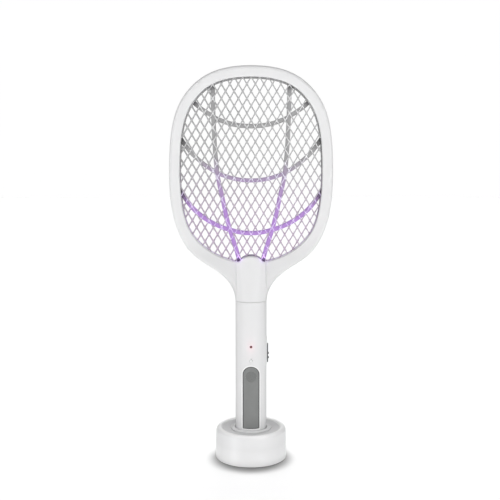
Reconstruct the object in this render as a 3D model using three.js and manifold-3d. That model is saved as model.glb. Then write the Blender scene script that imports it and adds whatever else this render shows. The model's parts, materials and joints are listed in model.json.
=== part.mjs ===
// Electric fly swatter with a round charging dock.
// Millimetres, +Z up, the front faces -Y. Origin: centre of the dock on the surface it stands on.
// The swatter stands upright in the dock's socket. Every physical piece is one named mesh.
import * as THREE from "three";
import { mergeVertices } from "three/addons/utils/BufferGeometryUtils.js";
import Module from "manifold-3d";

const wasm = await Module();
wasm.setup();

// ---------------------------------------------------------------- driving dimensions
const FOOT_Z = 18; // lower end of the handle above the surface
const HANDLE_R = 18.2; // handle tube, outside
const HANDLE_WALL = 2;
const HANDLE_BOTTOM = 26.4; // handle shells start above the end cap
const HANDLE_TOP = 186.6; // seam between handle and head
const NECK_BOTTOM = 186.9;
const HEAD_Y = 10.2; // half thickness of the head frame
const HEAD_SKIRT = 1.8; // outer wall of the frame channel
const HEAD_LIP = 1.5; // inner wall of the frame channel
const LIP_Y = 6.6; // the inner lip ends here, in front of the guard mesh
const SPLIT = 0.15; // half gap between a front and a rear shell
const GUARD_Y = [5.4, 6.2]; // guard mesh, near and far face from the middle
const WEB_Y = [0.8, 5.1]; // insulating spacer web
const GRID_Y = 0.4; // half thickness of the high-voltage grid
const PITCH_X = 9.72; // true width of one diamond
const PITCH_Z = 16.32; // true height of one diamond
const MESH_STEP = 3; // every third strand is modelled
const STRAND = 1.2;
const CROSS_Z = 378.73; // height of one strand crossing on the centre line
const WEB_W = 4.7; // width of a spacer rib
const DOCK_R = 42; // dock at its foot
const DOCK_R_TOP = 41.3;
const DOCK_H = 36;
const SOCKET_R = 18.9; // bore of the dock's socket
const SOCKET_FLOOR = 17.3;
const PIN_X = 5; // charging contacts, each side of the centre
const STRIP_W = 9.7; // half width of the grip inlay
const STRIP_Z = [37.7, 111.7];
const BUTTON_Z = 99.6;
const BUTTON_R = 6.1;
const LED_Z = 134.8;
const SENSOR_Z = 119;
const BEZEL_Z = [111, 144];
const SLIDER_Z = [113, 136];
const SLIDER_TRAVEL = 6;
const SCREW_ZS = [33.4, 168];
const SEG = 40; // facets round the handle

// Half outlines of the head in its own plane, [x, z], from the top centre down.
const OUTER = [
  [0, 457.28], [8.86, 457.05], [17.75, 456.34], [26.58, 455.03], [35.25, 452.99], [43.68, 450.09],
  [51.71, 446.23], [59.19, 441.38], [66.02, 435.66], [72.13, 429.2], [77.5, 422.09], [82.01, 414.42],
  [85.6, 406.28], [88.35, 397.82], [90.36, 389.16], [91.82, 380.38], [92.86, 371.54], [93.6, 362.68],
  [94.09, 353.79], [94.38, 344.9], [94.5, 336], [94.45, 327.11], [94.18, 318.21], [93.63, 309.33],
  [92.7, 300.48], [91.35, 291.69], [89.5, 282.99], [87.05, 274.44], [83.95, 266.09], [80.15, 258.05],
  [75.55, 250.43], [70.02, 243.46], [63.47, 237.43], [56.21, 232.26], [48.69, 227.49], [41.23, 222.61],
  [34.2, 217.14], [27.98, 210.78], [22.96, 203.44], [19.58, 195.22], [18.2, NECK_BOTTOM],
];
const INNER = [
  [0, 443.92], [9.1, 443.66], [18.21, 442.88], [27.23, 441.36], [36.03, 438.91], [44.43, 435.29],
  [52.14, 430.39], [58.99, 424.34], [64.91, 417.38], [69.84, 409.68], [73.7, 401.4], [76.56, 392.72],
  [78.57, 383.8], [79.92, 374.75], [80.78, 365.65], [81.33, 356.52], [81.69, 347.38], [81.88, 338.23],
  [81.83, 329.09], [81.5, 319.95], [80.87, 310.82], [79.89, 301.73], [78.5, 292.69], [76.49, 283.77],
  [73.57, 275.11], [69.48, 266.94], [64.17, 259.5], [57.85, 252.9], [50.74, 247.15], [43.01, 242.27],
  [34.8, 238.26], [26.2, 235.15], [17.32, 232.99],
];
// The tongue: the neck's domed end that stands up into the window, from its corner to the centre.
const TONGUE = [[13.4, 233.3], [11, 235.9], [8, 238], [4.2, 239.3], [0, 239.7]];
// Centre lines of the spacer web, right half: one rail and three arcs.
const RAIL = [
  [44.2, 440], [44, 430], [43.6, 412], [43.2, 398], [42.4, 378], [41.2, 357.7], [39.2, 336], [36.8, 322.5],
  [33.7, 309.6], [29.2, 287.4], [23.8, 267.5], [18.7, 251.4], [13.4, 233.1], [12.4, 229.5],
];
const ARCS = [
  [[0, 388.8], [19.7, 390.7], [37.1, 396.3], [47.4, 402.2], [58.2, 409.3], [69, 418.5]],
  [[0, 326.7], [17.3, 328.3], [33, 332.9], [44.5, 338.7], [55.5, 346.4], [68.5, 358], [79.1, 371.9], [83.5, 379.5]],
  [[0, 265.8], [11.3, 266.5], [25.7, 269.8], [39.9, 275.2], [52.4, 282.2], [64.1, 291.4], [73, 301.6], [83.6, 318.5]],
];

// ---------------------------------------------------------------- materials
const shade = (hex, roughness = 0.45, metalness = 0, extra = {}) =>
  new THREE.MeshStandardMaterial({ color: hex, roughness, metalness, ...extra });
const WHITE = 0xe9e9ea;
const GREY = 0x868886;

// ---------------------------------------------------------------- solids and booleans
function solid(geometry) {
  let g = geometry.clone();
  g.deleteAttribute("normal");
  g.deleteAttribute("uv");
  g = mergeVertices(g, 1e-4);
  return new wasm.Manifold(
    new wasm.Mesh({
      numProp: 3,
      vertProperties: new Float32Array(g.attributes.position.array),
      triVerts: new Uint32Array(g.index.array),
    }),
  );
}
function geometryOf(m) {
  const mesh = m.getMesh();
  const n = mesh.numProp;
  const v = new Float32Array(mesh.numVert * 3);
  for (let i = 0; i < mesh.numVert; i++) v.set(mesh.vertProperties.subarray(i * n, i * n + 3), i * 3);
  const g = new THREE.BufferGeometry();
  g.setAttribute("position", new THREE.BufferAttribute(v, 3));
  g.setIndex(new THREE.BufferAttribute(new Uint32Array(mesh.triVerts), 1));
  g.computeVertexNormals();
  return g;
}
const join = (...list) => list.reduce((a, b) => a.add(b));
const cut = (a, ...list) => list.reduce((s, b) => s.subtract(b), a);

function box(x0, x1, y0, y1, z0, z1) {
  return solid(
    new THREE.BoxGeometry(x1 - x0, y1 - y0, z1 - z0).translate((x0 + x1) / 2, (y0 + y1) / 2, (z0 + z1) / 2),
  );
}
// Upright round bar.
function barZ(r, z0, z1, x = 0, y = 0, seg = 16) {
  return solid(
    new THREE.CylinderGeometry(r, r, z1 - z0, seg).rotateX(Math.PI / 2).translate(x, y, (z0 + z1) / 2),
  );
}
// Round bar along Y.
function barY(r, y0, y1, x, z, seg = 16) {
  return solid(new THREE.CylinderGeometry(r, r, y1 - y0, seg).translate(x, (y0 + y1) / 2, z));
}
// Round bar along X.
function barX(r, x0, x1, y, z, seg = 16) {
  return solid(
    new THREE.CylinderGeometry(r, r, x1 - x0, seg).rotateZ(Math.PI / 2).translate((x0 + x1) / 2, y, z),
  );
}
// A profile of [r, z] points turned about the upright axis.
function turned(profile, seg = 48, x = 0, y = 0) {
  const area = profile.reduce((s, p, i) => {
    const q = profile[(i + 1) % profile.length];
    return s + p[0] * q[1] - q[0] * p[1];
  }, 0);
  const pts = (area < 0 ? [...profile].reverse() : profile).map((p) => new THREE.Vector2(p[0], p[1]));
  const closed = [...pts];
  if (pts[0].x > 1e-6 || pts[pts.length - 1].x > 1e-6) closed.push(pts[0].clone());
  return solid(new THREE.LatheGeometry(closed, seg).rotateX(Math.PI / 2).translate(x, y, 0));
}
// A plate with an outline in the XZ plane, between two Y values. bevel rounds its outer edges inwards.
function slab(outline, y0, y1, holes = [], bevel = 0) {
  const g = new THREE.ExtrudeGeometry(new THREE.Shape(outline.map((p) => new THREE.Vector2(p[0], p[1]))), {
    depth: y1 - y0 - 2 * bevel,
    bevelEnabled: bevel > 0,
    bevelThickness: bevel,
    bevelSize: bevel,
    bevelOffset: -bevel,
    bevelSegments: 1,
  });
  const plate = solid(g.rotateX(Math.PI / 2).translate(0, y1 - bevel, 0));
  return holes.reduce((m, h) => m.subtract(slab(h, y0 - 1, y1 + 1)), plate);
}
// A plate with an outline in the YZ plane, between two X values.
function sideSlab(outline, x0, x1) {
  const shape = new THREE.Shape(outline.map((p) => new THREE.Vector2(p[0], p[1])));
  const g = new THREE.ExtrudeGeometry(shape, { depth: x1 - x0, bevelEnabled: false });
  // outline x is Y, outline y is Z, depth is X
  const m = new THREE.Matrix4().set(0, 0, 1, x0, 1, 0, 0, 0, 0, 1, 0, 0, 0, 0, 0, 1);
  return solid(g.applyMatrix4(m));
}
// A closed outline moved outwards by d (inwards if negative), with mitred corners.
function offset(points, d) {
  const n = points.length;
  const area = points.reduce((s, p, i) => {
    const q = points[(i + 1) % n];
    return s + p[0] * q[1] - q[0] * p[1];
  }, 0);
  const sign = area > 0 ? 1 : -1;
  return points.map((p, i) => {
    const a = points[(i + n - 1) % n];
    const b = points[(i + 1) % n];
    const u = [p[0] - a[0], p[1] - a[1]];
    const v = [b[0] - p[0], b[1] - p[1]];
    const lu = Math.hypot(...u);
    const lv = Math.hypot(...v);
    const nu = [(sign * u[1]) / lu, (-sign * u[0]) / lu];
    const nv = [(sign * v[1]) / lv, (-sign * v[0]) / lv];
    const mx = nu[0] + nv[0];
    const mz = nu[1] + nv[1];
    const k = 2 / Math.max(mx * mx + mz * mz, 1.2);
    return [p[0] + mx * k * d, p[1] + mz * k * d];
  });
}
// The same half outline on both sides of x = 0, as one closed loop.
function mirrored(half) {
  const left = half.map(([x, z]) => [-x, z]).filter(([x]) => Math.abs(x) > 1e-6);
  return [...half, ...left.reverse()];
}
// A band of constant width along a line of points.
function band(points, width, y0, y1) {
  const curve = new THREE.SplineCurve(points.map((p) => new THREE.Vector2(p[0], p[1])));
  const n = Math.round(points.length * 0.8);
  const left = [];
  const right = [];
  for (let i = 0; i <= n; i++) {
    const p = curve.getPoint(i / n);
    const t = curve.getTangent(i / n);
    left.push([p.x - (t.y * width) / 2, p.y + (t.x * width) / 2]);
    right.push([p.x + (t.y * width) / 2, p.y - (t.x * width) / 2]);
  }
  return slab([...left, ...right.reverse()], y0, y1);
}
const flipY = (m) => m.mirror([0, 1, 0]);
// A bent wire of round section through a list of points.
function wire(points, r, steps, sides = 8) {
  const curve = new THREE.CatmullRomCurve3(points.map((p) => new THREE.Vector3(...p)));
  const ring = [];
  for (let i = 0; i < sides; i++)
    ring.push(new THREE.Vector2(r * Math.cos((i * 2 * Math.PI) / sides), r * Math.sin((i * 2 * Math.PI) / sides)));
  return solid(new THREE.ExtrudeGeometry(new THREE.Shape(ring), { steps, extrudePath: curve, bevelEnabled: false }));
}

const root = new THREE.Group();
const dock = new THREE.Group();
const swatter = new THREE.Group();
root.add(dock, swatter);
function place(group, name, made, material) {
  const mesh = new THREE.Mesh(made instanceof THREE.BufferGeometry ? made : geometryOf(made), material);
  mesh.name = name;
  group.add(mesh);
  return mesh;
}

// ---------------------------------------------------------------- the dock
const FEET = [45, 135, 225, 315].map((a) => [33 * Math.cos((a * Math.PI) / 180), 33 * Math.sin((a * Math.PI) / 180)]);
const BASE_SCREWS = [0, 180, 270].map((a) => [33.5 * Math.cos((a * Math.PI) / 180), 33.5 * Math.sin((a * Math.PI) / 180)]);
const WELL_WALL = 2.1;
const RX = SOCKET_R + WELL_WALL;
let housing = turned(
  [
    [DOCK_R, 0.9], [DOCK_R_TOP, 31.8], [DOCK_R_TOP - 0.8, 34.6], [DOCK_R_TOP - 3.6, DOCK_H], [35, 35.9], [33, 34.5],
    [24, 34.1], [SOCKET_R, 34.1], [SOCKET_R, SOCKET_FLOOR], [0, SOCKET_FLOOR],
    [0, 15.2], [RX, 15.2], [RX, 31.9], [38.2, 32.2], [39.3, 30.4], [39.9, 0.9],
  ],
  48,
);
for (const [x, y] of BASE_SCREWS) housing = cut(housing.add(barZ(3, 3.8, 32.3, x, y, 10)), barZ(1.6, 3, 10, x, y, 8)); // screw posts
housing = cut(
  housing,
  barZ(1.35, 14, 19, -PIN_X, 0, 12),
  barZ(1.35, 14, 19, PIN_X, 0, 12),
  box(-5.1, 5.1, 38, 43, 4.6, 9.4), // inlet opening in the rear wall
);
place(dock, "dock_housing", housing, shade(WHITE));
place(
  dock,
  "socket_trim_ring",
  turned([[SOCKET_R, 34.4], [23.9, 34.4], [23.9, 34.9], [23.5, 35.3], [19.3, 35.6], [SOCKET_R, 35.2]], 40),
  shade(0xdededf),
);
place(
  dock,
  "dock_base_plate",
  cut(
    turned([[0, 1.1], [39.4, 1.1], [39.4, 3.4], [0, 3.4]], 40),
    ...FEET.map(([x, y]) => barZ(5.8, 0.5, 2.2, x, y, 16)),
    ...BASE_SCREWS.map(([x, y]) => barZ(2.9, 0.5, 2.3, x, y, 10)),
    ...BASE_SCREWS.map(([x, y]) => barZ(1.6, 0.5, 4, x, y, 8)),
  ),
  shade(0xdcdcdd, 0.55),
);
FEET.forEach(([x, y], i) =>
  place(
    dock,
    `rubber_foot_${i + 1}`,
    turned([[0, 0], [5, 0], [5.5, 0.5], [5.5, 1.9], [0, 1.9]], 16, x, y),
    shade(0x3a3a3c, 0.85),
  ),
);
BASE_SCREWS.forEach(([x, y], i) =>
  place(
    dock,
    `base_screw_${i + 1}`,
    join(
      turned([[0, 1.3], [2.6, 1.3], [2.6, 2], [0, 2]], 12, x, y),
      barZ(1.25, 1.8, 9, x, y, 8),
    ),
    shade(0x8d8f93, 0.35, 0.9),
  ),
);
// Steel ring that keeps the tall swatter upright, open at the rear for the board and clear of the screws.
{
  const arc = [];
  const a0 = (118 * Math.PI) / 180;
  const a1 = (422 * Math.PI) / 180;
  for (let i = 0; i <= 30; i++) arc.push([29.5 * Math.cos(a0 + ((a1 - a0) * i) / 30), 29.5 * Math.sin(a0 + ((a1 - a0) * i) / 30)]);
  for (let i = 30; i >= 0; i--) arc.push([19.5 * Math.cos(a0 + ((a1 - a0) * i) / 30), 19.5 * Math.sin(a0 + ((a1 - a0) * i) / 30)]);
  const shape = new THREE.Shape(arc.map((p) => new THREE.Vector2(...p)));
  place(
    dock,
    "ballast_ring",
    solid(new THREE.ExtrudeGeometry(shape, { depth: 9, bevelEnabled: false }).translate(0, 0, 3.8)),
    shade(0x6f7276, 0.5, 0.85),
  );
}
place(dock, "charging_board", box(-8.2, 8.2, -10, 36, 4.1, 5.3), shade(0x2f6b3f, 0.6));
place(
  dock,
  "usb_inlet",
  cut(box(-4.5, 4.5, 34.2, 41.3, 5.6, 8.8), box(-3.9, 3.9, 36, 42, 6.1, 8.3)),
  shade(0xb9bcc0, 0.3, 0.9),
);
for (const [side, s] of [["left", -1], ["right", 1]]) {
  place(
    dock,
    `pin_barrel_${side}`,
    cut(barZ(1.9, 5.6, 14.6, s * PIN_X, 0, 16), barZ(1.35, 7, 16, s * PIN_X, 0, 16)),
    shade(0xc9a85a, 0.3, 0.9),
  );
  place(
    dock,
    `charge_pin_${side}`,
    turned([[0, 9.5], [1.05, 9.5], [1.05, 17.1], [0.75, 17.55], [0, 17.7]], 12, s * PIN_X, 0),
    shade(0xd9b866, 0.25, 0.95),
  );
}

// ---------------------------------------------------------------- handle
const inR = HANDLE_R - HANDLE_WALL;
const frontHalf = box(-60, 60, -60, -SPLIT, -10, 500);
const rearHalf = box(-60, 60, SPLIT, 60, -10, 500);
const tube = (r0, r1, z0, z1, seg = SEG) => turned([[r0, z0], [r1, z0], [r1, z1], [r0, z1]], seg);
// Outline of the grip inlay: square at the bottom, half round at the top.
function stripOutline(grow) {
  const r = STRIP_W + grow;
  const top = STRIP_Z[1] - STRIP_W;
  const pts = [[-r, STRIP_Z[0] - grow], [r, STRIP_Z[0] - grow]];
  for (let i = 0; i <= 14; i++) pts.push([r * Math.cos((i * Math.PI) / 14), top + r * Math.sin((i * Math.PI) / 14)]);
  return pts;
}
function oblongYZ(z0, z1, half) {
  const pts = [];
  for (let i = 0; i <= 8; i++) pts.push([half * Math.cos((i * Math.PI) / 8), z1 - half + half * Math.sin((i * Math.PI) / 8)]);
  for (let i = 0; i <= 8; i++) pts.push([-half * Math.cos((i * Math.PI) / 8), z0 + half - half * Math.sin((i * Math.PI) / 8)]);
  return pts;
}
const BEZEL_HALF = 6.4;
const bezelHole = sideSlab(oblongYZ(BEZEL_Z[0] - 0.3, BEZEL_Z[1] + 0.3, BEZEL_HALF + 0.3), 8, 22);

let tubeShell = tube(inR, HANDLE_R, HANDLE_BOTTOM, HANDLE_TOP);
const frontRelief = tube(17.1, 20, STRIP_Z[0] - 0.3, 112.1);
let front = tubeShell
  .add(tube(17, 18.75, STRIP_Z[0] - 1.5, 113.3).intersect(slab(stripOutline(1.5), -30, -5))) // raised bevel round the inlay
  .intersect(frontHalf);
for (const z of SCREW_ZS) front = front.add(barY(3.2, -16.8, -0.4, 0, z, 14)); // screw bosses
front = cut(
  front,
  frontRelief.intersect(slab(stripOutline(0.3), -30, -5)),
  barY(BUTTON_R + 0.35, -30, -10, 0, BUTTON_Z, 24),
  barY(1.65, -30, -10, 0, LED_Z, 14),
  bezelHole,
  ...SCREW_ZS.map((z) => barY(1.6, -10.5, 0, 0, z, 10)),
);
const dropShape = (g) => [
  [0, SENSOR_Z + 2.4 + g], [-1 - g, SENSOR_Z + 0.6], [-1.5 - g, SENSOR_Z - 0.8], [-1.1 - g * 0.8, SENSOR_Z - 1.9 - g * 0.5],
  [0, SENSOR_Z - 2.4 - g], [1.1 + g * 0.8, SENSOR_Z - 1.9 - g * 0.5], [1.5 + g, SENSOR_Z - 0.8], [1 + g, SENSOR_Z + 0.6],
];
front = front.subtract(slab(dropShape(0.35), -30, -10));
place(swatter, "handle_front_shell", front, shade(WHITE));

let rear = tubeShell.intersect(rearHalf);
for (const z of SCREW_ZS) rear = rear.add(barY(3.4, 0.4, 17, 0, z, 14));
rear = cut(
  rear,
  bezelHole,
  ...SCREW_ZS.map((z) => barY(1.6, -1, 30, 0, z, 10)),
  ...SCREW_ZS.map((z) => barY(2.9, 14.6, 30, 0, z, 16)),
);
place(swatter, "handle_rear_shell", rear, shade(WHITE));
SCREW_ZS.forEach((z, i) =>
  place(
    swatter,
    `handle_screw_${i + 1}`,
    join(
      barY(2.55, 15, 16.9, 0, z, 12),
      barY(1.25, -9.6, 15.5, 0, z, 8),
    ),
    shade(0x8d8f93, 0.35, 0.9),
  ),
);
place(
  swatter,
  "handle_end_cap",
  cut(
    turned(
      [
        [0, FOOT_Z], [15.2, FOOT_Z], [17.4, FOOT_Z + 1.4], [18.2, FOOT_Z + 4], [18.2, 26.1], [15.9, 26.1],
        [15.9, 29.6], [14.1, 29.6], [14.1, FOOT_Z + 2.6], [0, FOOT_Z + 2.6],
      ],
      32,
    ),
    barZ(2.5, 17, 22, -PIN_X, 0, 16),
    barZ(2.5, 17, 22, PIN_X, 0, 16),
  ),
  shade(WHITE),
);
for (const [side, s] of [["left", -1], ["right", 1]])
  place(
    swatter,
    `charge_contact_${side}`,
    turned([[0, FOOT_Z], [2.2, FOOT_Z], [2.2, 20.9], [3.3, 20.9], [3.3, 21.8], [0, 21.8]], 16, s * PIN_X, 0),
    shade(0xc4c6c8, 0.25, 0.95),
  );
place(
  swatter,
  "grip_inlay",
  cut(
    tube(17.4, 18.55, STRIP_Z[0], 111.9).intersect(slab(stripOutline(0), -30, -5)),
    barY(BUTTON_R + 0.35, -30, -10, 0, BUTTON_Z, 24),
  ),
  shade(GREY, 0.7),
);
// Push button: dished cap, flange behind the shell and a stem into the switch.
place(
  swatter,
  "zap_button",
  join(
    solid(
      new THREE.LatheGeometry(
        [[0, -17.75], [3, -17.85], [5.1, -18.25], [BUTTON_R - 0.3, -18.5], [BUTTON_R, -18.2], [BUTTON_R, -14.2], [0, -14.2]]
          .map(([r, y]) => new THREE.Vector2(r, y)),
        20,
      ).translate(0, 0, BUTTON_Z),
    ),
    barY(7.1, -14.4, -13.2, 0, BUTTON_Z, 20),
    barY(1.6, -13.4, -9.9, 0, BUTTON_Z, 12),
  ),
  shade(0x7d807d, 0.7),
);
place(
  swatter,
  "zap_switch",
  cut(box(-3.2, 3.2, -11.2, -7.9, BUTTON_Z - 3.2, BUTTON_Z + 3.2), barY(1.95, -12, -8.4, 0, BUTTON_Z, 12)),
  shade(0x2a2a2c, 0.5),
);
place(
  swatter,
  "status_led",
  solid(
    new THREE.LatheGeometry(
      [[0, -18.35], [0.8, -18.15], [1.3, -17.4], [1.3, -7.9], [0, -7.9]].map(([r, y]) => new THREE.Vector2(r, y)),
      12,
    ).translate(0, 0, LED_Z),
  ),
  shade(0xc02020, 0.25),
);
place(swatter, "light_sensor_window", slab(dropShape(0), -18.35, -16.3), shade(0xcfd0d2, 0.2));
place(
  swatter,
  "switch_bezel",
  cut(
    tube(inR, 19, BEZEL_Z[0], BEZEL_Z[1]).intersect(sideSlab(oblongYZ(BEZEL_Z[0], BEZEL_Z[1], BEZEL_HALF), 8, 24)),
    sideSlab(oblongYZ(112.5, 142.5, 3), 8, 24),
  ),
  shade(WHITE),
);
place(
  swatter,
  "mode_slider",
  join(
    sideSlab(oblongYZ(SLIDER_Z[0], SLIDER_Z[1], 2.65), 15.4, 20.7),
    box(20.4, 21.4, -2.3, 2.3, 123.3, 124.7),
    box(20.4, 21.4, -2.3, 2.3, 118.3, 119.7),
    box(12.9, 15.7, -1.2, 1.2, 122.4, 125.6), // stem to the switch lever
  ),
  shade(GREY, 0.6),
);
place(
  swatter,
  "mode_switch",
  cut(box(7.2, 12.5, -3.4, 3.4, 113.5, 138.5), box(11.2, 13, -1.8, 1.8, 118, 134)),
  shade(0xa9acb0, 0.4, 0.7),
);
place(swatter, "main_circuit_board", box(-12.4, 12.4, -7.6, -6.2, 89, 162), shade(0x2f6b3f, 0.6));
place(
  swatter,
  "hv_transformer",
  cut(
    join(box(-7, 7, -5.9, 6.1, 143, 158)),
    box(-8, 8, -2.8, 3, 145.6, 146.8),
    box(-8, 8, -2.8, 3, 154.2, 155.4),
  ),
  shade(0xb9a24c, 0.5),
);
place(swatter, "hv_capacitor", solid(new THREE.BoxGeometry(12, 6, 9).translate(-4, -2.7, 126)), shade(0xb5452f, 0.5));
place(
  swatter,
  "battery_cell",
  turned([[0, 42], [8.2, 42], [9, 42.8], [9, 104.6], [3, 105], [3, 106.4], [0, 106.4]], 20, 0, 4.7),
  shade(0x4a77b8, 0.4),
);
{
  const coil = [];
  for (let i = 0; i <= 24; i++) {
    const a = (i / 24) * 3 * 2 * Math.PI;
    const r = 5 - (i / 24) * 2;
    coil.push([r * Math.cos(a), 4.7 + r * Math.sin(a), 38.6 + (i / 24) * 2.6]);
  }
  place(
    swatter,
    "battery_spring_contact",
    join(box(-6.5, 6.5, -1, 10.5, 37.7, 38.3), wire(coil, 0.4, 24, 5)),
    shade(0xb9bcc0, 0.3, 0.95),
  );
}
place(
  swatter,
  "battery_top_contact",
  join(box(-6, 6, -1, 10.5, 107.2, 107.8), box(-2, 2, 3, 6.4, 106.7, 107.4)),
  shade(0xb9bcc0, 0.3, 0.95),
);

// ---------------------------------------------------------------- head
const everySecond = (half) => half.filter((p, i) => i % 2 === 0); // facets of about 18 mm
const outer = mirrored(everySecond(OUTER));
const windowLoop = mirrored([...everySecond(INNER), ...TONGUE]).filter(
  (p, i, all) => i === 0 || Math.hypot(p[0] - all[i - 1][0], p[1] - all[i - 1][1]) > 1e-6,
);
const windowOut = (d) => offset(windowLoop, d);
// The neck swells from the round handle to the flat head: a cylinder whose rings are scaled one by one.
const NECK = [[NECK_BOTTOM, 18.2, 18.2, 2], [195, 18, 17.85, 2.1], [206, 17.7, 17, 2.4], [219, 17.2, 15.3, 2.9], [242, 16.2, 12.5, 3.4]];
// Around it the head's own body flares out: half width, half depth and squareness of each section.
const FLARE = [
  [NECK_BOTTOM, 18.2, 18.2, 2], [195.2, 19.7, 16.6, 2.1], [203.4, 23.1, 13.6, 2.4], [210.8, 28.2, 11.8, 2.9],
  [217.1, 34.6, 10.9, 3.6], [222.6, 41.8, 10.5, 4.6], [227.5, 50, 10.3, 6], [233.4, 62, 10.2, 8],
];
const NECK_SEG = 32;
function loft(sections, grow, zLow, zHigh) {
  const g = new THREE.CylinderGeometry(1, 1, 1, NECK_SEG, sections.length - 1).rotateX(Math.PI / 2);
  const p = g.attributes.position;
  const last = sections.length - 1;
  for (let i = 0; i < p.count; i++) {
    const k = Math.round((p.getZ(i) + 0.5) * last);
    const [z, rx, ry, n] = sections[k];
    const c = p.getX(i);
    const q = p.getY(i);
    const r = Math.hypot(c, q);
    const power = (v) => (r < 1e-6 || Math.abs(v) < 1e-6 ? 0 : Math.sign(v) * Math.pow(Math.abs(v / r), 2 / n) * r);
    p.setXYZ(i, power(c) * (rx + grow), power(q) * (ry + grow), k === 0 ? zLow ?? z : k === last ? zHigh ?? z : z);
  }
  return solid(g);
}
const archOutline = (d) => {
  const t = TONGUE.map(([x, z]) => [x, z]);
  const half = [[0, 239.7 - d], ...t.slice(0, 4).reverse().map(([x, z]) => [x * (1 - d / 26), z - d]), [19, 231 - d], [19, 180]];
  return mirrored(half);
};
const neckOuter = loft(NECK, 0).intersect(slab(archOutline(0), -30, 30));
const neckInner = loft(NECK, -2, NECK_BOTTOM + 3.1).intersect(slab(archOutline(2), -30, 30));
const spigot = tube(14, 15.8, 177, NECK_BOTTOM + 1, NECK_SEG);
const neckBore = barZ(14, 170, NECK_BOTTOM + 4, 0, 0, NECK_SEG);
const below = box(-200, 200, -60, 60, 100, 233);
const above = box(-200, 200, -60, 60, 232.9, 600);
const body = join(
  slab(outer, -HEAD_Y, HEAD_Y, [windowLoop], 2).intersect(above),
  slab(outer, -20, 20, [windowLoop]).intersect(loft(FLARE, 0)).intersect(below),
  neckOuter,
);
const cavityOut = offset(outer, -HEAD_SKIRT).filter(([, z]) => z > NECK_BOTTOM + 4);
const channel = slab(cavityOut, -8.4, 8.4, [windowOut(HEAD_LIP)]);
const stackRoom = slab(cavityOut, -LIP_Y, LIP_Y);
const cavity = join(channel, stackRoom);
const hollow = join(cavity.intersect(loft(FLARE, -HEAD_SKIRT)).intersect(below), cavity.intersect(above), neckInner);
// Screw posts in the channel, and one in the neck: [x, z].
const POSTS = [[0, 451.7], [79.1, 408.6], [-79.1, 408.6], [72.6, 258.6], [-72.6, 258.6]];
const shellBlank = cut(join(cut(body, hollow), spigot), neckBore);
const frontFrame = cut(
  join(shellBlank.intersect(box(-200, 200, -60, -SPLIT, 0, 600)), ...POSTS.map(([x, z]) => barY(2.5, -9.4, -SPLIT, x, z, 10))),
  ...POSTS.map(([x, z]) => barY(1.35, -7.4, 1, x, z, 8)),
);
const rearFrame = cut(
  join(shellBlank.intersect(box(-200, 200, SPLIT, 60, 0, 600)), ...POSTS.map(([x, z]) => barY(2.9, SPLIT, 9.4, x, z, 12))),
  ...POSTS.map(([x, z]) => barY(1.35, -1, 12, x, z, 8)),
  ...POSTS.map(([x, z]) => barY(2.4, 7.2, 12, x, z, 12)),
);
place(swatter, "head_front_frame", frontFrame, shade(WHITE));
place(swatter, "head_rear_frame", rearFrame, shade(WHITE));
POSTS.forEach(([x, z], i) =>
  place(
    swatter,
    `head_screw_${i + 1}`,
    join(
      barY(2, 7.5, 9.3, x, z, 12),
      barY(1, -6.8, 8, x, z, 6),
    ),
    shade(0x8d8f93, 0.35, 0.9),
  ),
);

// Diamond sheets: a plate with a rim and every third strand of the true lattice.
function diamonds(step) {
  const w = (PITCH_X * step) / 2;
  const h = (PITCH_Z * step) / 2;
  const shrink = 1 - STRAND / ((2 * w * h) / Math.hypot(w, h));
  const a = w * shrink;
  const b = h * shrink;
  const shapes = [];
  for (let i = -12; i <= 12; i++)
    for (let j = -20; j <= 20; j++) {
      if ((i + j) % 2 === 0) continue;
      const cx = i * w;
      const cz = CROSS_Z + j * h;
      if (Math.abs(cx) > 100 || cz < 215 || cz > 470) continue;
      shapes.push(
        new THREE.Shape([[cx - a, cz], [cx, cz - b], [cx + a, cz], [cx, cz + b]].map((p) => new THREE.Vector2(...p))),
      );
    }
  return shapes;
}
function sheet(y0, y1, rim, step) {
  const plate = slab(windowOut(rim), y0, y1);
  const cells = solid(
    new THREE.ExtrudeGeometry(diamonds(step), { depth: 40, bevelEnabled: false }).rotateX(Math.PI / 2).translate(0, 20, 0),
  ).intersect(slab(windowOut(0.4), -30, 30));
  // slivers left at the rim are not cut out
  const real = cells.decompose().filter((c) => c.volume() > 40 * 40);
  return plate.subtract(wasm.Manifold.compose(real));
}
const METAL = () => shade(0xb4b7ba, 0.35, 0.8);
const guard = sheet(-GUARD_Y[1], -GUARD_Y[0], 3.4, MESH_STEP);
place(swatter, "front_guard_mesh", guard, METAL());
place(swatter, "rear_guard_mesh", flipY(guard), METAL());
place(swatter, "hv_grid", sheet(-GRID_Y, GRID_Y, 2.6, MESH_STEP + 1), METAL());

// Insulating spacer webs: a rim, two rails and three arcs, open at the tongue for the lamps.
function web(y0, y1) {
  const rim = slab(windowOut(4), y0, y1, [windowOut(0.3)]);
  const bars = [];
  bars.push(band(RAIL, WEB_W, y0, y1), band(RAIL.map(([x, z]) => [-x, z]), WEB_W, y0, y1));
  for (const arc of ARCS) bars.push(band([...arc.slice(1).reverse().map(([x, z]) => [-x, z]), ...arc], WEB_W, y0, y1));
  const room = slab(windowOut(4), y0 - 1, y1 + 1);
  return cut(join(rim, ...bars).intersect(room), box(-10.2, 10.2, y0 - 1, y1 + 1, 225, 243));
}
const frontWeb = web(-WEB_Y[1], -WEB_Y[0]);
place(swatter, "front_spacer_web", frontWeb, shade(0x8f9194, 0.4));
place(swatter, "rear_spacer_web", flipY(frontWeb), shade(0x8f9194, 0.4));

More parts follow.
